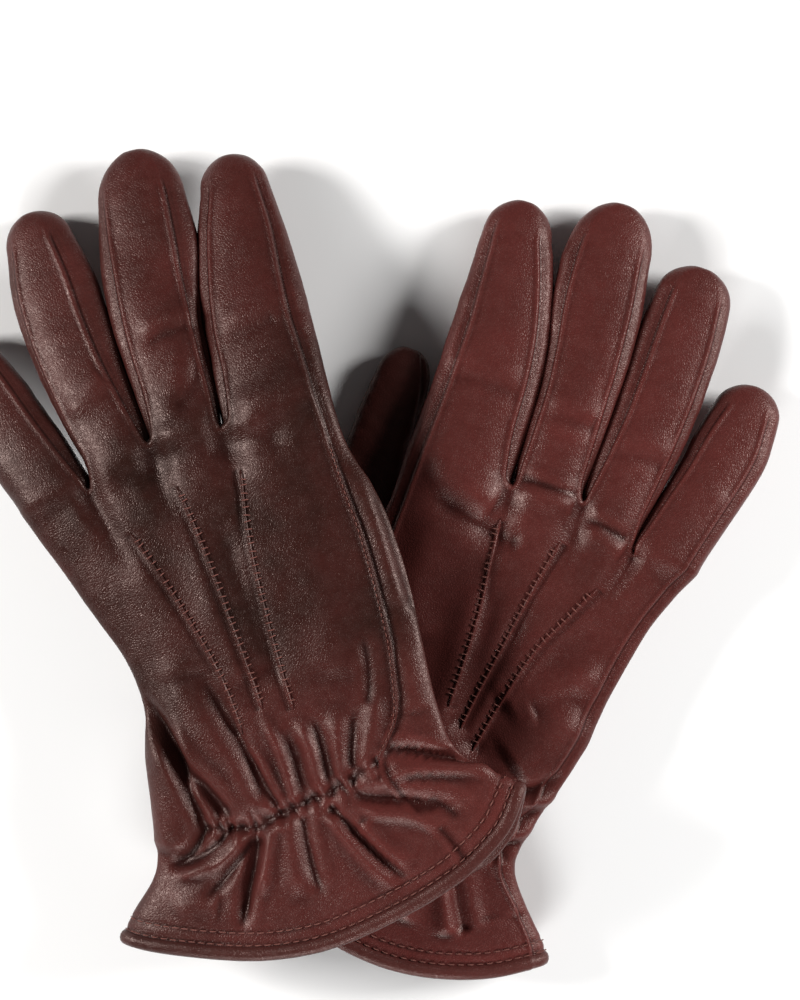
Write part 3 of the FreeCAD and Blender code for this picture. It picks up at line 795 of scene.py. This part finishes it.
def laid(surface, line, lift=0.0):
    """A line of (u, v) laid on the glove's back, and the surface's normals there."""
    path, ups = [], []
    for u, v in line:
        p, n = surface.on_back(u, v)
        path.append(p + n * lift)
        ups.append(n)
    path, ups = np.array(path), np.array(ups)
    kernel = np.array([1, 2, 3, 2, 1]) / 9
    for i in range(3):
        padded = np.pad(ups[:, i], 2, mode="edge")
        ups[:, i] = np.convolve(padded, kernel, "valid")
        padded = np.pad(path[:, i], 2, mode="edge")
        path[:, i] = np.convolve(padded, kernel, "valid")
    return path, ups / np.linalg.norm(ups, axis=1, keepdims=True)


# ---------------------------------------------------------------- materials


def shader_tree(title):
    """A new material, its node tree and its shader."""
    made = bpy.data.materials.new(title)
    made.use_nodes = True
    return made, made.node_tree, made.node_tree.nodes["Principled BSDF"]


def node(tree, kind, feeds=(), settings=(), **inputs):
    """A shader node, with its input values, its settings and (input, socket) pairs that feed it."""
    made = tree.nodes.new(kind)
    for key, value in inputs.items():
        made.inputs[key.replace("_", " ")].default_value = value
    for key, value in settings:
        setattr(made, key, value)
    for key, socket in feeds:
        tree.links.new(socket, made.inputs[key])
    return made


def read(tree, attribute):
    return node(tree, "ShaderNodeAttribute", settings=[("attribute_name", attribute)])


def multiply(tree, share, first, second):
    """One colour darkened by another, by the share given."""
    made = node(tree, "ShaderNodeMixRGB", [(1, first), (2, second)], [("blend_type", "MULTIPLY")])
    made.inputs[0].default_value = share
    return made.outputs[0]


def mixed(tree, first, second, factor):
    """A blend between two fixed colours."""
    made = node(tree, "ShaderNodeMixRGB", [(0, factor)])
    made.inputs[1].default_value = (*first, 1)
    made.inputs[2].default_value = (*second, 1)
    return made.outputs[0]


def spread(tree, value, low, high, to_low=0.0, to_high=1.0, **settings):
    """A value's range stretched to another range."""
    made = node(tree, "ShaderNodeMapRange", [("Value", value)], settings.items(),
                From_Min=low, From_Max=high, To_Min=to_low, To_Max=to_high)
    return made.outputs["Result"]


def leather(title, colour, deep, ridge_highlight=1.25, roughness=0.35, grain=1.2):
    """Smooth nappa leather: a fine pebbled grain, with painted shade in the hollows and a painted highlight
    on ridges and edges.
    """
    made, tree, shader = shader_tree(title)
    rest = read(tree, "rest").outputs["Vector"]
    bent = node(tree, "ShaderNodeTexNoise", [("Vector", rest)], Scale=0.9, Detail=2.0)
    warp = node(tree, "ShaderNodeMixRGB", [(1, rest), (2, bent.outputs["Color"])],
                [("blend_type", "LINEAR_LIGHT")])
    warp.inputs[0].default_value = 0.35
    cells = node(tree, "ShaderNodeTexVoronoi", [("Vector", warp.outputs[0])],
                 [("feature", "DISTANCE_TO_EDGE")], Scale=1.3, Randomness=0.95)
    edge_gap = cells.outputs["Distance"]
    pebbles = spread(tree, edge_gap, 0.0, 0.32, interpolation_type="SMOOTHSTEP")
    fine = node(tree, "ShaderNodeTexNoise", [("Vector", rest)], Scale=4.2, Detail=2.0, Roughness=0.5)
    creases = node(tree, "ShaderNodeTexNoise", [("Vector", rest)], Scale=0.33, Detail=3.0, Roughness=0.5,
                   Distortion=0.6)
    creased = creases.outputs["Fac"]

    bump = node(tree, "ShaderNodeBump", [("Height", creased)], Strength=0.4, Distance=0.00025)
    for height, strength, distance in ((pebbles, 0.5, 0.00008), (fine.outputs["Fac"], 0.25, 0.00002)):
        feeds = [("Height", height), ("Normal", bump.outputs["Normal"])]
        bump = node(tree, "ShaderNodeBump", feeds, Strength=strength * grain, Distance=distance)
    tree.links.new(bump.outputs["Normal"], shader.inputs["Normal"])

    patches = node(tree, "ShaderNodeTexNoise", [("Vector", rest)], Scale=0.045, Detail=3.0, Roughness=0.55)
    patched = spread(tree, patches.outputs["Fac"], 0.32, 0.68)
    tone = node(tree, "ShaderNodeMath", [(0, patched), (2, read(tree, "tone").outputs["Fac"])],
                [("operation", "MULTIPLY_ADD"), ("use_clamp", True)])
    tone.inputs[1].default_value = 0.28
    base = mixed(tree, deep, colour, tone.outputs[0])
    # Painted shade from the 'hollow' attribute darkens the colour in hollows, and a painted highlight
    # lightens it on ridges.
    shade = node(tree, "ShaderNodeValToRGB", [("Fac", read(tree, "hollow").outputs["Fac"])])
    ramp = shade.color_ramp
    ramp.elements[0].position, ramp.elements[0].color = 0.05, (0.42, 0.38, 0.38, 1)
    ramp.elements[1].position, ramp.elements[1].color = 0.5, (1, 1, 1, 1)
    ramp.elements.new(0.86).color = (ridge_highlight, ridge_highlight, ridge_highlight, 1)
    cover = multiply(tree, 1.0, base, shade.outputs["Color"])
    pits = multiply(tree, 0.8, cover, spread(tree, edge_gap, 0.0, 0.2, 0.72, 1.0))
    tree.links.new(pits, shader.inputs["Base Color"])
    gloss = spread(tree, creased, 0.3, 0.7, roughness - 0.07, roughness + 0.09)
    tree.links.new(gloss, shader.inputs["Roughness"])
    shader.inputs["Specular IOR Level"].default_value = 0.32
    shader.inputs["Specular Tint"].default_value = (1.0, 0.76, 0.7, 1)
    shader.inputs["IOR"].default_value = 1.46
    return made


def fabric(title, colour, scale, sheen):
    """A fine knitted or woven cloth."""
    made, tree, shader = shader_tree(title)
    rest = read(tree, "rest").outputs["Vector"]
    ribs = node(tree, "ShaderNodeTexWave", [("Vector", rest)], Scale=scale, Distortion=0.6, Detail=1.0)
    height = ribs.outputs["Fac"]
    tree.links.new(mixed(tree, [c * 0.6 for c in colour], colour, height), shader.inputs["Base Color"])
    bump = node(tree, "ShaderNodeBump", [("Height", height)], Strength=0.5, Distance=0.0001)
    tree.links.new(bump.outputs["Normal"], shader.inputs["Normal"])
    shader.inputs["Roughness"].default_value = 0.85
    shader.inputs["Sheen Weight"].default_value = sheen
    return made


MATERIALS = {
    "leather": leather("nappa leather", (0.085, 0.0185, 0.016), (0.014, 0.0054, 0.0038)),
    "fourchette_leather": leather("fourchette leather", (0.078, 0.0185, 0.016), (0.014, 0.0054, 0.0038)),
    # The 1.3 below is the painted highlight on the binding's ridges.
    "binding": leather("rolled leather edge", (0.075, 0.021, 0.018), (0.018, 0.007, 0.0055), 1.3, 0.34),
    "lining": fabric("knitted lining", (0.055, 0.026, 0.022), 2.0, 0.08),
    "elastic": fabric("woven elastic", (0.05, 0.03, 0.03), 3.0, 0.3),
    "thread": fabric("waxed thread", (0.19, 0.06, 0.045), 5.0, 0.0),
}


# ---------------------------------------------------------------- pieces


def set_attribute(mesh, title, kind, values):
    layer = mesh.attributes.new(title, kind, "POINT")
    key = "vector" if kind == "FLOAT_VECTOR" else "value"
    layer.data.foreach_set(key, np.asarray(values, np.float32).ravel())


# Painted shade and highlight value of a piece's leather: 0.5 gets none, and higher values get a painted
# highlight as on a ridge.
FLAT, EDGE, RAISED = 0.5, 0.6, 0.66  # how far up from a hollow a piece's leather is shaded
SHADED = 0.25  # the thumb's tone, under the hand
PLAIN = 0.3


def piece(name, title, slot, points, faces, hollow=FLAT, normals=None, tone=PLAIN):
    """One visible piece of a glove, from points in the glove's own frame."""
    mesh = new_mesh(title, placed(name, points), faces, mirrored=name == "right")
    set_attribute(mesh, "rest", "FLOAT_VECTOR", points)
    set_attribute(mesh, "hollow", "FLOAT", np.broadcast_to(hollow, len(points)))
    set_attribute(mesh, "tone", "FLOAT", np.broadcast_to(tone, len(points)))
    mesh.shade_smooth()
    if normals is not None:
        _, u, v, w = AXES[name]
        world = normals[:, 0:1] * u + normals[:, 1:2] * v + normals[:, 2:3] * w
        mesh.normals_split_custom_set_from_vertices([tuple(n) for n in world])
    made = add(title, mesh, MATERIALS[slot])
    return made


def on_hand(name, title, slot, points, faces, instead=None, **looks):
    """A piece that rides on the hand, and the CAD node that it is shown instead of."""
    made = piece(name, f"{name}_{title}", slot, points, faces, **looks)
    if instead:
        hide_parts(f"{name}_{instead}")
    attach(made, f"{name}_hand")


def compact(points, faces):
    """The points that the faces use, and the faces counted over those."""
    used = np.unique(faces)
    index = np.full(len(points), -1)
    index[used] = np.arange(len(used))
    return used, index[faces]


def bend(made):
    """The piece's placement is baked into its points; it is not attached to the hand or to a finger, so it
    does not follow them.
    """
    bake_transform(made)


def vertex_means(values, quads, count):
    total, hits = np.zeros((count, values.shape[1])), np.zeros(count)
    for i in range(4):
        for j in ((i + 1) % 4, (i + 3) % 4):
            np.add.at(total, quads[:, i], values[quads[:, j]])
            np.add.at(hits, quads[:, i], 1)
    return total / np.maximum(hits, 1)[:, None]


def seam_samples(points, quads, seam):
    """Closely spaced places along the seams."""
    edges = np.concatenate([quads[:, [i, (i + 1) % 4]] for i in range(4)])
    edges = edges[seam[edges].all(axis=1)]
    a, b = points[edges[:, 0]], points[edges[:, 1]]
    return np.concatenate([a + (b - a) * share for share in (0, 0.2, 0.4, 0.6, 0.8)])


def nearest_gap(points, chosen):
    tree = KDTree(len(chosen))
    for i, p in enumerate(chosen):
        tree.insert(Vector(p), i)
    tree.balance()
    return np.array([tree.find(Vector(p))[2] for p in points])


def rim_loop(quads):
    """The points round an open edge, in order."""
    edges = np.concatenate([quads[:, [i, (i + 1) % 4]] for i in range(4)])
    key = np.sort(edges, axis=1)
    _, index, count = np.unique(key, axis=0, return_index=True, return_counts=True)
    rim = edges[index[count == 1]]
    after = dict(rim.tolist())
    loop = [int(rim[0][0])]
    while after[loop[-1]] != loop[0]:
        loop.append(after[loop[-1]])
    return np.array(loop)


def floor_clamped(name, points, floor_mm):
    """Keeps the points above the table."""
    origin, u, v, w = AXES[name]
    height = (origin + points[:, 0:1] * u + points[:, 1:2] * v + points[:, 2:3] * w)[:, 2]
    low = np.maximum(0, floor_mm - height)
    return points + (low / w[2])[:, None] * np.array([0, 0, 1.0])


def hollows(points, quads, normals):
    """The value for painted shade and painted highlight: 0.5 on flat leather, less (painted shade) in a
    hollow and more (painted highlight) on a ridge.
    """
    smooth = points
    for _ in range(2):
        smooth = vertex_means(smooth, quads, len(points))
    rise = np.einsum("ij,ij->i", points - smooth, normals)
    return np.clip(0.5 + rise * 2.6, 0, 1)


def tone_of(name, points):
    """The share of the redder colour: the left glove is browner towards its fingers."""
    v = points[:, 1]
    if name == "left":
        wrist = ease(-points[:, 0], 15, 45) * (1 - ease(v, 20, 60))
        return 0.6 - 0.55 * ease(v, -5, 60) + 0.38 * ease(v, 115, 170) - 0.26 * wrist
    return 0.62 + 0.1 * ease(v, 100, 160) + 0.3 * (1 - ease(v, -10, 5))


OUTER_U = -28  # the left hand has no seam on its little finger's side of this


def build_skin(name):
    """The glove's sculpted skin, cut into its leather pieces."""
    points, faces, owner = cage(SHAPES[name])
    points, quads, owners = subdivided(points, faces, owner, SMOOTH_LEVELS)
    normals = normals_of(points, quads)
    back, palm, side = range(3)
    kinds = [back if p.endswith(("back", "back_panel")) else palm if "palm" in p else side for p in PIECES]
    kinds = np.array(kinds)[owners]
    low, high = np.full(len(points), side), np.full(len(points), back)
    for i in range(4):
        np.minimum.at(low, quads[:, i], kinds)
        np.maximum.at(high, quads[:, i], kinds)
    seam = low != high
    outer = (low == back) & (high == palm) & (points[:, 0] < OUTER_U)
    if name == "left":
        seam &= ~outer
    rim = rim_loop(quads)
    to_seam = nearest_gap(points, seam_samples(points, quads, seam))
    to_hem = nearest_gap(points, points[rim])
    points = points + normals * sculpt(name, points, normals, to_seam, low == back, to_hem)[:, None]
    points = floor_clamped(name, points, CAD_LOW[2] / MM + 0.05)
    normals = normals_of(points, quads)
    # rise: each point's painted shade (in hollows) and painted highlight (on ridges) value.
    rise = hollows(points, quads, normals)
    tone = tone_of(name, points)
    for k, title in enumerate(PIECES):
        chosen = quads[owners == k]
        used, local = compact(points, chosen)
        slot = "fourchette_leather" if "fourchette" in title else "leather"
        looks = {"hollow": rise[used], "normals": normals[used], "tone": tone[used]}
        if title in ("back_panel", "palm_panel"):
            on_hand(name, f"{title}_skin", slot, points[used], local, title, **looks)
        else:
            made = piece(name, f"{name}_{title}_skin", slot, points[used], local, **looks)
            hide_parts(f"{name}_{title}")
            bend(made)
    return points, quads, owners, normals, rim


HEM_SECTION = [(4.1, -0.1), (3.9, 0.45), (3.2, 0.95), (2.2, 1.25), (1.1, 1.2), (0.2, 0.8), (-0.35, 0.1),
               (-0.4, -0.7), (0.1, -1.4), (1.2, -1.8), (2.8, -1.75), (4.1, -1.2)]  # (in from the hem, up)
HEM_STITCH = 3.1  # pitch of the topstitching


def binding(name, points, normals, rim, surface):
    """The rolled edge of the cuff, with its topstitching."""
    loop = points[rim]
    n = normals[rim].copy()
    kernel = np.ones(9) / 9
    for i in range(3):
        n[:, i] = np.convolve(np.pad(n[:, i], 4, mode="wrap"), kernel, "valid")
    n /= np.linalg.norm(n, axis=1, keepdims=True)
    along = np.roll(loop, -1, 0) - np.roll(loop, 1, 0)
    along /= np.linalg.norm(along, axis=1, keepdims=True)
    inward = np.cross(n, along)
    inward *= np.sign(inward[:, 1:2])
    inward /= np.linalg.norm(inward, axis=1, keepdims=True)
    rings = []
    wave = noise_field(loop, 6.0, 8)[:, None]
    for reach, lift in HEM_SECTION:
        on_skin = np.array([surface.nearest(p + d * max(reach, 0.0))[0] for p, d in zip(loop, inward)])
        rings.append(on_skin + inward * min(reach, 0.0) + n * (lift * (1 + 0.12 * wave)))
    m, count = len(HEM_SECTION), len(loop)
    pts = floor_clamped(name, np.stack(rings, 1).reshape(-1, 3), CAD_LOW[2] / MM + 0.02)
    faces = tube_faces(count, m, closed=True)
    centres = pts.reshape(count, m, 3).mean(1).repeat(m, 0)
    if np.einsum("ij,ij->i", normals_of(pts, np.array(faces)), pts - centres).mean() < 0:
        faces = [f[::-1] for f in faces]
    on_hand(name, "hem_binding_roll", "binding", pts, faces, "hem_binding", tone=tone_of(name, pts))

    stitches = []
    for row in TOPSTITCH_ROWS[name]:
        line = np.array([surface.nearest(p + d * row)[0] for p, d in zip(loop, inward)])
        line = np.concatenate([line, line[:1]])
        starts = evenly(line, HEM_STITCH)
        step = np.roll(starts, -1, 0) - starts
        step /= np.maximum(np.linalg.norm(step, axis=1, keepdims=True), 1e-6)
        for a, d in zip(starts, step):
            _, up = surface.nearest(a)
            a = a + up * 0.12
            stitches.append(capsule(a - d * 1.05, a + d * 1.05, up, 0.42, 0.2))
    pts, faces = joined(stitches)
    on_hand(name, "hem_topstitching_thread", "thread", pts, faces, "hem_topstitching")


WHIP_STITCH = 2.3  # pitches of the points' and the side seam's stitches
SIDE_STITCH = 2.1


def raised_points(name, surface):
    """The three stitched tucks on the back of the hand."""
    tucks, stitches = [], []
    for number, line in enumerate(POINTS[name]):
        line = smooth_line([(u + SHAPES[name]["lean"] * LEAN_SHIFT, v) for u, v in line])
        path, ups = laid(surface, evenly(line, 0.6), 0.1)
        wave = noise_field(path, 3.0, 20 + number)
        from_end = np.minimum(np.arange(len(path)), np.arange(len(path))[::-1])
        sizes = (1 + 0.18 * wave) * np.sqrt(np.clip(from_end / 4, 0.1, 1))
        tucks.append(sweep(path, ups, round_section(1.25, 1.7, 10), sizes=sizes))
        on, up = laid(surface, evenly(line, WHIP_STITCH))
        ahead, across, _ = frames_along(on, up)
        for k in range(1, len(on) - 1):
            lean = 0.35 * math.sin(k * 2.4)
            top = on[k] + up[k] * 0.9 + across[k] * 0.3
            foot = on[k] - across[k] * 1.7 + ahead[k] * lean + up[k] * 0.1
            stitches.append(capsule(top, foot, up[k], 0.4, 0.12))
    pts, faces = joined(tucks)
    on_hand(name, "raised_points_tucks", "leather", pts, faces, "raised_points", hollow=RAISED,
            tone=tone_of(name, pts))
    on_hand(name, "raised_points_whipstitch", "thread", *joined(stitches))


def side_seam(name, surface):
    """The piped seam down the index side of the hand, with the small stitches in it."""
    seam = [(u, v) for v, u in SHAPES[name]["seam"] if 0 < v < 116]
    line = smooth_line(seam)
    path, ups = laid(surface, evenly(line, 0.8), 0.05)
    wave = 1 + 0.15 * noise_field(path, 2.5, 31)
    pts, faces = sweep(path, ups, round_section(0.9, 0.9, 8), sizes=wave)
    on_hand(name, "index_side_seam_piping", "leather", pts, faces, "index_side_seam", hollow=EDGE,
            tone=tone_of(name, pts))
    spots, up = laid(surface, evenly(line, SIDE_STITCH))
    ahead, across, _ = frames_along(spots, up)
    spots = spots - across * 0.75 + up * 0.12
    stitches = [capsule(p - a * 0.55, p + a * 0.55, n, 0.3, 0.12) for p, a, n in zip(spots, ahead, up)]
    on_hand(name, "index_side_seam_thread", "thread", *joined(stitches))


THUMB_RING = 20
THUMB_STATIONS = 26
THUMB_END = 12.4  # how far its rounded ends reach past its line
THUMB_ROOT = ((0.99, 0.2), (0.86, 0.55), (0.55, 0.86), (0.25, 0.97))  # (share of that, share of its width)
THUMB_TIP = ((0.3, 0.97), (0.58, 0.84), (0.8, 0.62), (0.94, 0.34))
THUMB_LEVEL = -5.0
THUMB_HALF_HEIGHT = 4.6
THUMB_TOP = -0.15  # it stays under the palm
THUMB_LINING_DEPTH = 1.1
THUMB_SEAM = {
    "left": [(40, 44), (32, 70)],
    "right": [(46, 151), (43.4, 144), (41.6, 136), (40, 126), (39, 112)],
}


def thumb(name):
    """The thumb: a flat tube under the palm, rounded at its tip and at its root."""
    line = np.array(SHAPES[name]["thumb"], float)
    k = np.arange(len(line), dtype=float)
    at = np.linspace(0, len(line) - 1, THUMB_STATIONS)
    centre = np.stack([curve(np.column_stack([k, line[:, i]]), at) for i in (0, 1)], 1)
    half = curve(np.column_stack([k, line[:, 2]]), at)
    ahead = np.gradient(centre, axis=0)
    ahead /= np.linalg.norm(ahead, axis=1, keepdims=True)

    def end_rings(end, sign, steps):
        reach = sign * ahead[end] * THUMB_END
        return [(centre[end] + reach * s, ahead[end], half[end] * keep, 0.5 + keep / 2) for s, keep in steps]

    rings = end_rings(0, -1, THUMB_ROOT) + [(c, a, h, 1.0) for c, a, h in zip(centre, ahead, half)]
    rings += end_rings(-1, 1, THUMB_TIP)
    count = THUMB_RING
    angles = np.linspace(0, 2 * np.pi, count, endpoint=False)
    x, z = (np.sign(t) * np.abs(t) ** (2 / FINGER_POWER) for t in (np.cos(angles), np.sin(angles)))
    points = []
    for c, a, h, tall in rings:
        flat = c + np.array([a[1], -a[0]]) * (x * h)[:, None]
        points += list(np.column_stack([flat, THUMB_LEVEL + THUMB_HALF_HEIGHT * tall * z]))
    faces = tube_faces(len(rings), count)
    for ring, turn in ((0, 1), (len(rings) - 1, -1)):
        middle = len(points)
        points.append(np.mean(points[ring * count:(ring + 1) * count], 0))
        # Quads only: each takes two of the ring's edges and the middle.
        for j in range(0, count, 2):
            quad = (ring * count + j, middle, ring * count + (j + 2) % count, ring * count + j + 1)
            faces.append(quad[::turn])
    points, quads, _ = subdivided(np.array(points), faces, [0] * len(faces), 2)
    normals = normals_of(points, quads)
    if np.einsum("ij,ij->i", normals, points - points.mean(0)).mean() < 0:
        quads = quads[:, ::-1]
        normals = -normals
    gap, _, _ = beside(smooth_line(THUMB_SEAM[name]), points[:, :2])
    relief = 0.5 * noise_field(points, 14, 41) + 0.25 * noise_field(points * np.array([1, 1.8, 1]), 6.5, 42)
    relief += 0.1 * noise_field(points, 2.6, 43)
    relief *= ease(12 - np.abs(points[:, 1] - 112), -30, 8) * 0.6 + 0.4
    relief -= 0.6 * np.exp(-((gap / 0.6) ** 2)) * (normals[:, 2] > 0)
    points = points + normals * relief[:, None]
    points[:, 2] = np.minimum(points[:, 2], THUMB_TOP)
    points = floor_clamped(name, points, CAD_LOW[2] / MM + 0.05)
    normals = normals_of(points, quads)
    # rise: each point's painted shade (in hollows) and painted highlight (on ridges) value.
    rise = hollows(points, quads, normals)
    made = piece(name, f"{name}_thumb_skin", "leather", points, quads, rise, normals, SHADED)
    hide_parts(f"{name}_thumb_inner", f"{name}_thumb_outer")
    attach(made, f"{name}_thumb")
    inner = piece(name, f"{name}_thumb_lining_knit", "lining", points - normals * THUMB_LINING_DEPTH,
                  quads[:, ::-1])
    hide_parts(f"{name}_thumb_lining")
    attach(inner, f"{name}_thumb")


LINING_DEPTH = 1.15
ELASTIC_DEPTH = 1.75


def linings(name, points, quads, owners, normals):
    """The knitted lining, just inside the leather."""
    inside = points - normals * LINING_DEPTH
    groups = {"hand": ["back_panel", "palm_panel"]}
    groups.update({f: [p for p in PIECES if p.startswith(f)] for f in FINGERS})
    for part, titles in groups.items():
        chosen = quads[np.isin(owners, [PIECES.index(t) for t in titles])]
        used, local = compact(points, chosen)
        title = f"{part}_lining"
        if part == "hand":
            on_hand(name, f"{title}_knit", "lining", inside[used], local[:, ::-1], title,
                    normals=-normals[used])
        else:
            made = piece(name, f"{name}_{title}_knit", "lining", inside[used], local[:, ::-1],
                         normals=-normals[used])
            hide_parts(f"{name}_{title}")
            bend(made)


def elastic(name, surface):
    """The elastic tape inside the back of the wrist."""
    path, ups = laid(surface, evenly(smooth_line(GATHERS[name][1]), 1.0), -ELASTIC_DEPTH)
    points, faces = sweep(path, ups, [(-2.6, -0.2), (2.6, -0.2), (2.6, 0.2), (-2.6, 0.2)])
    on_hand(name, "wrist_elastic_tape", "elastic", points, faces, "wrist_elastic")


for glove in SIDE:
    skin, skin_quads, skin_owners, skin_normals, hem = build_skin(glove)
    skin_surface = Surface(skin, skin_quads)
    binding(glove, skin, skin_normals, hem, skin_surface)
    raised_points(glove, skin_surface)
    side_seam(glove, skin_surface)
    linings(glove, skin, skin_quads, skin_owners, skin_normals)
    elastic(glove, skin_surface)
    thumb(glove)


# ---------------------------------------------------------------- the table, the lights and the camera

INDEX_HINGE = next(j["pos_m"] for j in frame["joints"] if j["name"] == "right_index_curl")
LOOK_AT = Vector((INDEX_HINGE[0] - 0.0164, INDEX_HINGE[1] - 0.0046, 0.0))  # the middle of the view
CAMERA_HEIGHT = 0.9
LENS = 99.0
TABLE = 4.0
TABLE_GAP = 0.0002


def table():
    """A plain white table, just under the gloves."""
    z = CAD_LOW[2] - TABLE_GAP
    corners = [(-TABLE, -TABLE, z), (TABLE, -TABLE, z), (TABLE, TABLE, z), (-TABLE, TABLE, z)]
    mesh = new_mesh("table", corners, [(0, 1, 2, 3)])
    paper, _, shader = shader_tree("white paper")
    shader.inputs["Base Color"].default_value = (0.9, 0.9, 0.9, 1)
    shader.inputs["Roughness"].default_value = 0.9
    shader.inputs["Specular IOR Level"].default_value = 0.1
    add("table", mesh, paper)


def soft_light(title, place, size, power, colour=(1, 1, 1)):
    """A rectangular lamp that faces the gloves."""
    data = bpy.data.lights.new(title, "AREA")
    data.shape = "RECTANGLE"
    data.size, data.size_y = size
    data.energy = power
    data.color = colour
    made = bpy.data.objects.new(title, data)
    bpy.context.scene.collection.objects.link(made)
    made.location = LOOK_AT + Vector(place)
    made.rotation_euler = (LOOK_AT - made.location).to_track_quat("-Z", "Y").to_euler()


table()
soft_light("key softbox", (-1.35, 0.2, 0.8), (0.4, 0.4), 27.0, (1.0, 0.98, 0.96))
soft_light("fill softbox", (1.3, 0.35, 0.7), (0.5, 0.5), 29.0, (1.0, 0.99, 0.98))
soft_light("low softbox", (-0.2, -1.3, 0.7), (0.7, 0.4), 16.0)
world = bpy.data.worlds.new("studio")
world.use_nodes = True
world.node_tree.nodes["Background"].inputs["Color"].default_value = (1, 1, 1, 1)
world.node_tree.nodes["Background"].inputs["Strength"].default_value = 0.06
bpy.context.scene.world = world

view = bpy.data.cameras.new("camera")
view.lens = LENS
view.sensor_width = 36.0
view.dof.use_dof = False
camera = bpy.data.objects.new("camera", view)
bpy.context.scene.collection.objects.link(camera)
camera.location = LOOK_AT + Vector((0, 0, CAMERA_HEIGHT))
bpy.context.scene.camera = camera
bpy.context.scene.view_settings.view_transform = "Standard"
